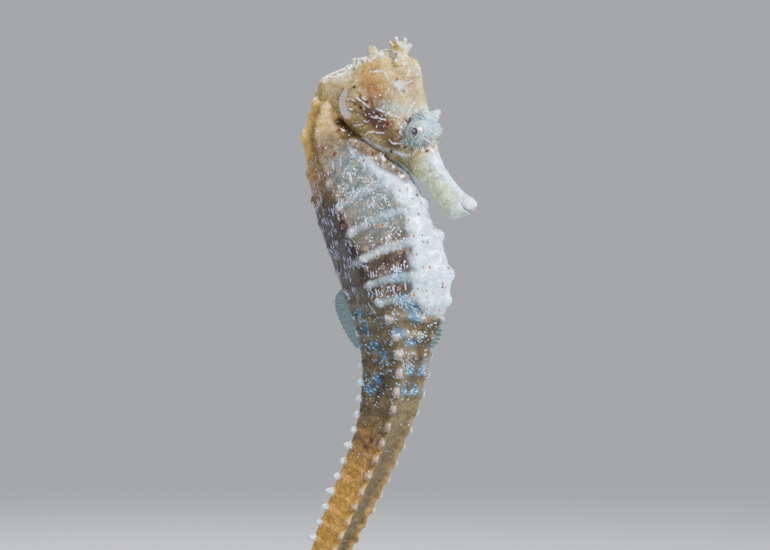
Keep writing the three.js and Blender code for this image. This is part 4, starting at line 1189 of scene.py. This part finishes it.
def fin_shell(name, rays, root, edge, sideways, node, finish):
    """A rayed fin: root and edge are functions of a share of its length, in millimetres."""
    share = np.linspace(0, 1, rays * 9)
    up = np.sin(np.linspace(0, 1, FIN_ROWS) * math.pi / 2)
    to_ray = np.abs((share * rays) % 1 - 0.5)
    ray = np.exp(-(to_ray / RAY_WIDTH) ** 2)[:, None]
    fade = 1 - 0.75 * up[None]
    half = (FIN_EDGE + (RAY_HALF - FIN_EDGE) * ray * fade) * np.sqrt(1.02 - up[None] ** 6)
    low = root(share)[:, None]
    high = edge(share, to_ray)[:, None]
    middle = low + (high - low) * up[None, :, None]
    ripple = 0.1 * np.sin(share * rays * math.tau)[:, None] * up[None] ** 2
    across = sideways(share)[:, None]
    right_face = middle + across * (ripple + half)[..., None]
    left_face = middle + across * (ripple - half)[..., None]
    points = np.concatenate([right_face, left_face[:, ::-1]], axis=1)
    mesh = roll_up(name, points)
    nearest, _ = nearest_in(tree_of(points.reshape(-1, 3)), numbers(mesh, "co"))
    reach = np.concatenate([up, up[::-1]])
    weave = np.stack(np.broadcast_arrays(ray, reach[None], 0.0), -1).reshape(-1, 3)[nearest]
    fill(mesh, "weave", weave)
    mesh.shade_smooth()
    mesh.transform(Matrix.Scale(MM, 4))
    fin = placed(name, mesh, finish)
    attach(fin, "root")
    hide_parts(node)


def fringe_ways(size, way):
    """The root, the edge and the thickness's way of a fin on the back (1) or the belly (-1)."""
    def along_at(share):
        return size["from"] + share * (size["to"] - size["from"])

    def from_axis(share, reach):
        place, _, back, _ = body_frame(along_at(share))
        flat = back * (1, 0, 1)
        flat /= np.linalg.norm(flat, axis=1, keepdims=True)
        depth = read_one(HALF_DEPTH, along_at(share), BODY_SOFTENING)
        return place + flat * (way * (depth + reach))[:, None]

    def root(share):
        return from_axis(share, -FIN_ROOT)

    def edge(share, to_ray):
        rise = size["height"] * np.sin(np.pi * share ** 1.15) ** 0.6
        return from_axis(share, rise * (1 - 2 * FIN_NOTCH * to_ray))

    def sideways(share):
        return np.tile((0, 1, 0), (len(share), 1))

    return root, edge, sideways


smoky_web = fin_look("smoky_web", (0.07, 0.12, 0.13, 1), (0.13, 0.21, 0.23, 1))
pale_web = fin_look("pale_web", (0.2, 0.18, 0.14, 1), (0.36, 0.37, 0.36, 1))
fin_shell("fin_dorsal", DORSAL_FIN["rays"], *fringe_ways(DORSAL_FIN, 1), "dorsal_fin", smoky_web)
fin_shell("fin_anal", ANAL_FIN["rays"], *fringe_ways(ANAL_FIN, -1), "anal_fin", smoky_web)


def pectoral_ways(side):
    """The same of the fan behind a cheek."""
    size = PECTORAL_FIN
    flare = math.radians(size["flare"])
    foot = in_head(size["along"], size["rise"], side * size["side"])
    out = np.array((-math.cos(flare), side * math.sin(flare), 0))

    def angle(share):
        return np.radians(size["spread"]) * (share - 0.5)

    def root(share):
        spread = (share - 0.5) * 2 * size["root"]
        return foot + spread[:, None] * np.array((0, 0, 1))

    def edge(share, to_ray):
        reach = size["radius"] * (1 - 2 * size["notch"] * to_ray)
        turn = angle(share)
        outward = (reach * np.cos(turn))[:, None] * out
        return foot + outward + (reach * np.sin(turn))[:, None] * (0, 0, 1)

    def sideways(share):
        return np.tile((math.sin(flare), side * math.cos(flare), 0), (len(share), 1))

    return root, edge, sideways


for side_name, side in SIDES.items():
    fin_shell(f"fin_{side_name}", PECTORAL_FIN["rays"], *pectoral_ways(side),
              f"pectoral_fin_{side_name}", pale_web)


# ---------- stand: base ----------
# A turned disc of dark walnut with a cove under its top edge, waxed to a low sheen.

BASE = {"radius": 30, "height": 6.4, "lip": 1.2, "cove": 1.6, "bead": 0.8, "slope": 0.6}
TURN_STEPS = 144


def turned(name, profile, finish, centre_x=0):
    """A turned piece: its profile, from the axis or closed on itself, spun about a post."""
    lathe = bmesh.new()
    verts = [lathe.verts.new((radius, 0, rise)) for radius, rise in profile]
    edges = [lathe.edges.new(pair) for pair in zip(verts, verts[1:])]
    bmesh.ops.spin(
        lathe, geom=verts + edges, cent=(0, 0, 0), axis=(0, 0, 1), angle=math.tau,
        steps=TURN_STEPS, use_merge=True,
    )
    bmesh.ops.remove_doubles(lathe, verts=lathe.verts, dist=1e-4)
    bmesh.ops.recalc_face_normals(lathe, faces=lathe.faces)
    bmesh.ops.translate(lathe, verts=lathe.verts, vec=(centre_x, 0, 0))
    bmesh.ops.scale(lathe, verts=lathe.verts, vec=(MM, MM, MM))
    mesh = mesh_of(lathe, name)
    mesh.shade_smooth()
    return placed(name, mesh, finish)


def arc(centre_x, centre_y, radius, start, end, steps=10):
    turns = np.radians(np.linspace(start, end, steps))
    return [(centre_x + radius * math.cos(t), centre_y + radius * math.sin(t)) for t in turns]


base_radius, base_height = BASE["radius"], BASE["height"]
lip_low = base_height - BASE["lip"]
cove = BASE["cove"]
base_profile = (
    [(0, 0), (base_radius - 0.8, 0)]
    + arc(base_radius - 0.6, 0.6, 0.6, -90, 0, 5)
    + arc(base_radius - 0.3, lip_low - cove - 0.3, 0.3, 0, 90, 4)
    + arc(base_radius, lip_low, cove, -90, -180)
    + arc(base_radius - cove - BASE["bead"], lip_low + 0.4, BASE["bead"], 0, 90, 8)
    + [(base_radius - cove - BASE["bead"] - BASE["slope"], base_height), (0, base_height)]
)
walnut = Nodes("walnut")
wood_at = walnut.add("TexCoord").outputs["Object"]
log_at = walnut.add("Mapping", {"Vector": wood_at, "Location": (0.004, 0.05, -0.03),
                                "Scale": (0.12, 1, 1)}).outputs[0]
growth = walnut.add("TexWave", {"Vector": log_at, "Scale": 55.0, "Distortion": 9.0, "Detail": 3.0,
                                "Detail Scale": 1.4}, wave_type="RINGS", rings_direction="X")
fibre = walnut.noise(walnut.stretched(wood_at, (60, 1600, 1600)), 1, 5, Roughness=0.65)
vessel = walnut.noise(walnut.stretched(wood_at, (150, 3800, 3800)), 1, 2)
vessel = walnut.step(vessel, 0.6, 0.68)
wood_colour = walnut.mix(growth.outputs["Fac"], (0.024, 0.01, 0.004, 1), (0.075, 0.032, 0.012, 1))
for share, colour in (
    (walnut.math("MULTIPLY", fibre, 0.7), (0.045, 0.019, 0.008, 1)),
    (walnut.math("MULTIPLY", vessel, 0.75), (0.012, 0.006, 0.004, 1)),
):
    wood_colour = walnut.mix(share, wood_colour, colour)
walnut.set(Base_Color=wood_colour, Roughness=walnut.math("MULTIPLY_ADD", fibre, 0.25, 0.26),
           Coat_Weight=0.25, Coat_Roughness=0.18)
walnut.bump(walnut.math("MULTIPLY_ADD", vessel, -1.0, fibre), 0.3, 0.00008)
base = turned("base", base_profile, walnut.material)
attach(base, "root")
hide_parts("stand_base")


# ---------- stand: ferrule, rod and cradle ----------
# A brushed steel rod stands in a small turned brass ferrule and carries a thick brass saddle, in
# which the lowest turn of the tail lies.

GAP = 0.3
FERRULE = {"radius": 3.4, "height": 2.6, "rim": 0.9, "neck": 0.7}
ROD = {"radius": 1.25, "along": 114.4}
CRADLE = {"wall": 0.7, "length": 3.2, "clearance": 1.1, "wrap": 150}
SADDLE_SLACK = 0.15

(foot_x, _, foot_z), *_ = body_frame(ROD["along"])
cradle_inner = read_one(HALF_DEPTH, ROD["along"]) + CRADLE["clearance"]


def worked_metal(name, bright, dull, scratch, roughness):
    """Metal with fine marks that run round the post, and a dulled, uneven skin."""
    look = Nodes(name)
    metal_at = look.add("TexCoord").outputs["Object"]
    clouded = look.step(look.noise(metal_at, 450, 6, Roughness=0.65), 0.4, 0.7)
    marks = look.noise(look.stretched(metal_at, scratch), 1, 4, Roughness=0.7)
    colour = look.mix(clouded, bright, dull)
    colour = look.mix(look.math("MULTIPLY", look.step(marks, 0.5, 0.75), 0.4), colour, dull)
    rough = look.math("MULTIPLY_ADD", clouded, 0.12, roughness)
    rough = look.math("MULTIPLY_ADD", marks, 0.15, rough)
    look.set(Base_Color=colour, Metallic=1.0, Roughness=rough)
    look.bump(marks, 0.25, 0.00005)
    return look.material


brass = worked_metal("brass", (0.66, 0.46, 0.18, 1), (0.38, 0.24, 0.09, 1), (350, 350, 9000), 0.22)
steel = worked_metal("steel", (0.6, 0.61, 0.63, 1), (0.4, 0.41, 0.43, 1), (500, 500, 12000), 0.24)

floor_of_post = base_height + GAP
collar = ROD["radius"] + GAP
ferrule_profile = (
    [(collar, floor_of_post), (FERRULE["radius"] - 0.2, floor_of_post)]
    + arc(FERRULE["radius"] - 0.2, floor_of_post + 0.2, 0.2, -90, 0, 4)
    + arc(FERRULE["radius"] - 0.25, floor_of_post + FERRULE["rim"] - 0.25, 0.25, 0, 90, 4)
    + [(2.6, floor_of_post + 1.05), (2.3, floor_of_post + 1.4), (2.25, floor_of_post + 2.1)]
    + arc(collar + FERRULE["neck"] - 0.2, floor_of_post + FERRULE["height"] - 0.2, 0.2, 0, 90, 4)
    + [(collar, floor_of_post + FERRULE["height"]), (collar, floor_of_post)]
)
ferrule = turned("ferrule", ferrule_profile, brass, foot_x)
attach(ferrule, "root")
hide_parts("stand_ferrule")

rod_top = foot_z - cradle_inner - CRADLE["wall"] - GAP
rod_profile = (
    [(0, floor_of_post), (ROD["radius"], floor_of_post), (ROD["radius"], rod_top - 0.3)]
    + [(ROD["radius"] - 0.25, rod_top), (0, rod_top)]
)
rod = turned("rod", rod_profile, steel, foot_x)
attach(rod, "root")
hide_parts("stand_rod")


def saddle(name, inner, wall, length, wrap):
    """A strip bent round the tail's axis, with soft edges."""
    strip = bmesh.new()
    bmesh.ops.create_grid(strip, x_segments=48, y_segments=6, size=0.5)
    for vert in strip.verts:
        turn = math.radians(wrap) * vert.co.x
        narrow = 1 - 0.45 * max(0, abs(vert.co.x) * 2 - 0.7) / 0.3
        vert.co = (vert.co.y * length * narrow, inner * math.sin(turn), -inner * math.cos(turn))
    bmesh.ops.recalc_face_normals(strip, faces=strip.faces)
    bmesh.ops.solidify(strip, geom=strip.faces[:], thickness=wall)
    bmesh.ops.recalc_face_normals(strip, faces=strip.faces)
    sharp = [edge for edge in strip.edges if edge.is_manifold and edge.calc_face_angle() > 0.7]
    bmesh.ops.bevel(strip, geom=sharp, offset=wall * 0.25, affect="EDGES", segments=2,
                    profile=0.5, material=-1)
    bmesh.ops.translate(strip, verts=strip.verts, vec=(foot_x, 0, foot_z))
    bmesh.ops.scale(strip, verts=strip.verts, vec=(MM, MM, MM))
    mesh = mesh_of(strip, name)
    mesh.shade_smooth()
    return placed(name, mesh, brass)


packing = CRADLE["clearance"] - SADDLE_SLACK
cradle = saddle("cradle", cradle_inner - packing, CRADLE["wall"] + packing, CRADLE["length"],
                CRADLE["wrap"])
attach(cradle, "root")
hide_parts("stand_cradle")


# ---------- floor and light ----------
# A plain pale paper floor whose far part glows with the studio's grey, so that it fades into it,
# a key light from above the animal's front, a weak fill, and a rim light behind.

STUDIO_COLOUR = (0.9, 0.94, 1, 1)
STUDIO_STRENGTH = 0.5
floor_sheet = bmesh.new()
bmesh.ops.create_circle(floor_sheet, cap_ends=True, segments=96, radius=6)
floor_look = Nodes("floor")
floor_at = floor_look.add("TexCoord").outputs["Object"]
paper_tone = floor_look.step(floor_look.noise(floor_at, 900, 3), 0.2, 0.8)
floor_look.set(
    Base_Color=floor_look.mix(paper_tone, (0.4, 0.405, 0.41, 1), (0.44, 0.445, 0.45, 1)),
    Roughness=0.85,
)
# Away from the animal the floor glows with the studio's colour.
glow = floor_look.add("Emission", {"Color": STUDIO_COLOUR, "Strength": STUDIO_STRENGTH})
fade = floor_look.step(floor_look.length(floor_at), 0.1, 0.85)
blend = floor_look.add("MixShader", {"Fac": fade})
floor_look.tree.links.new(floor_look.shader.outputs[0], blend.inputs[1])
floor_look.tree.links.new(glow.outputs[0], blend.inputs[2])
floor_look.tree.links.new(
    blend.outputs[0], floor_look.tree.nodes["Material Output"].inputs["Surface"])
floor = placed("floor", mesh_of(floor_sheet, "floor"), floor_look.material)

LIGHTS = {  # place, width, power in watts
    "key": ((0.52, -0.24, 0.5), 0.16, 18),
    "fill": ((-0.25, -0.75, 0.35), 0.5, 2.4),
    "rim": ((-0.35, 0.45, 0.45), 0.25, 6),
}
for name, (place_at, width, power) in LIGHTS.items():
    lamp = bpy.data.lights.new(name, "AREA")
    lamp.size = width
    lamp.energy = power
    light = placed(name, lamp)
    light.location = place_at
    way = Vector(place_at) - VIEW_TARGET
    light.rotation_euler = way.to_track_quat("Z", "Y").to_euler()

world = bpy.data.worlds.new("studio")
world.use_nodes = True
world.node_tree.nodes["Background"].inputs["Color"].default_value = STUDIO_COLOUR
world.node_tree.nodes["Background"].inputs["Strength"].default_value = STUDIO_STRENGTH
bpy.context.scene.world = world
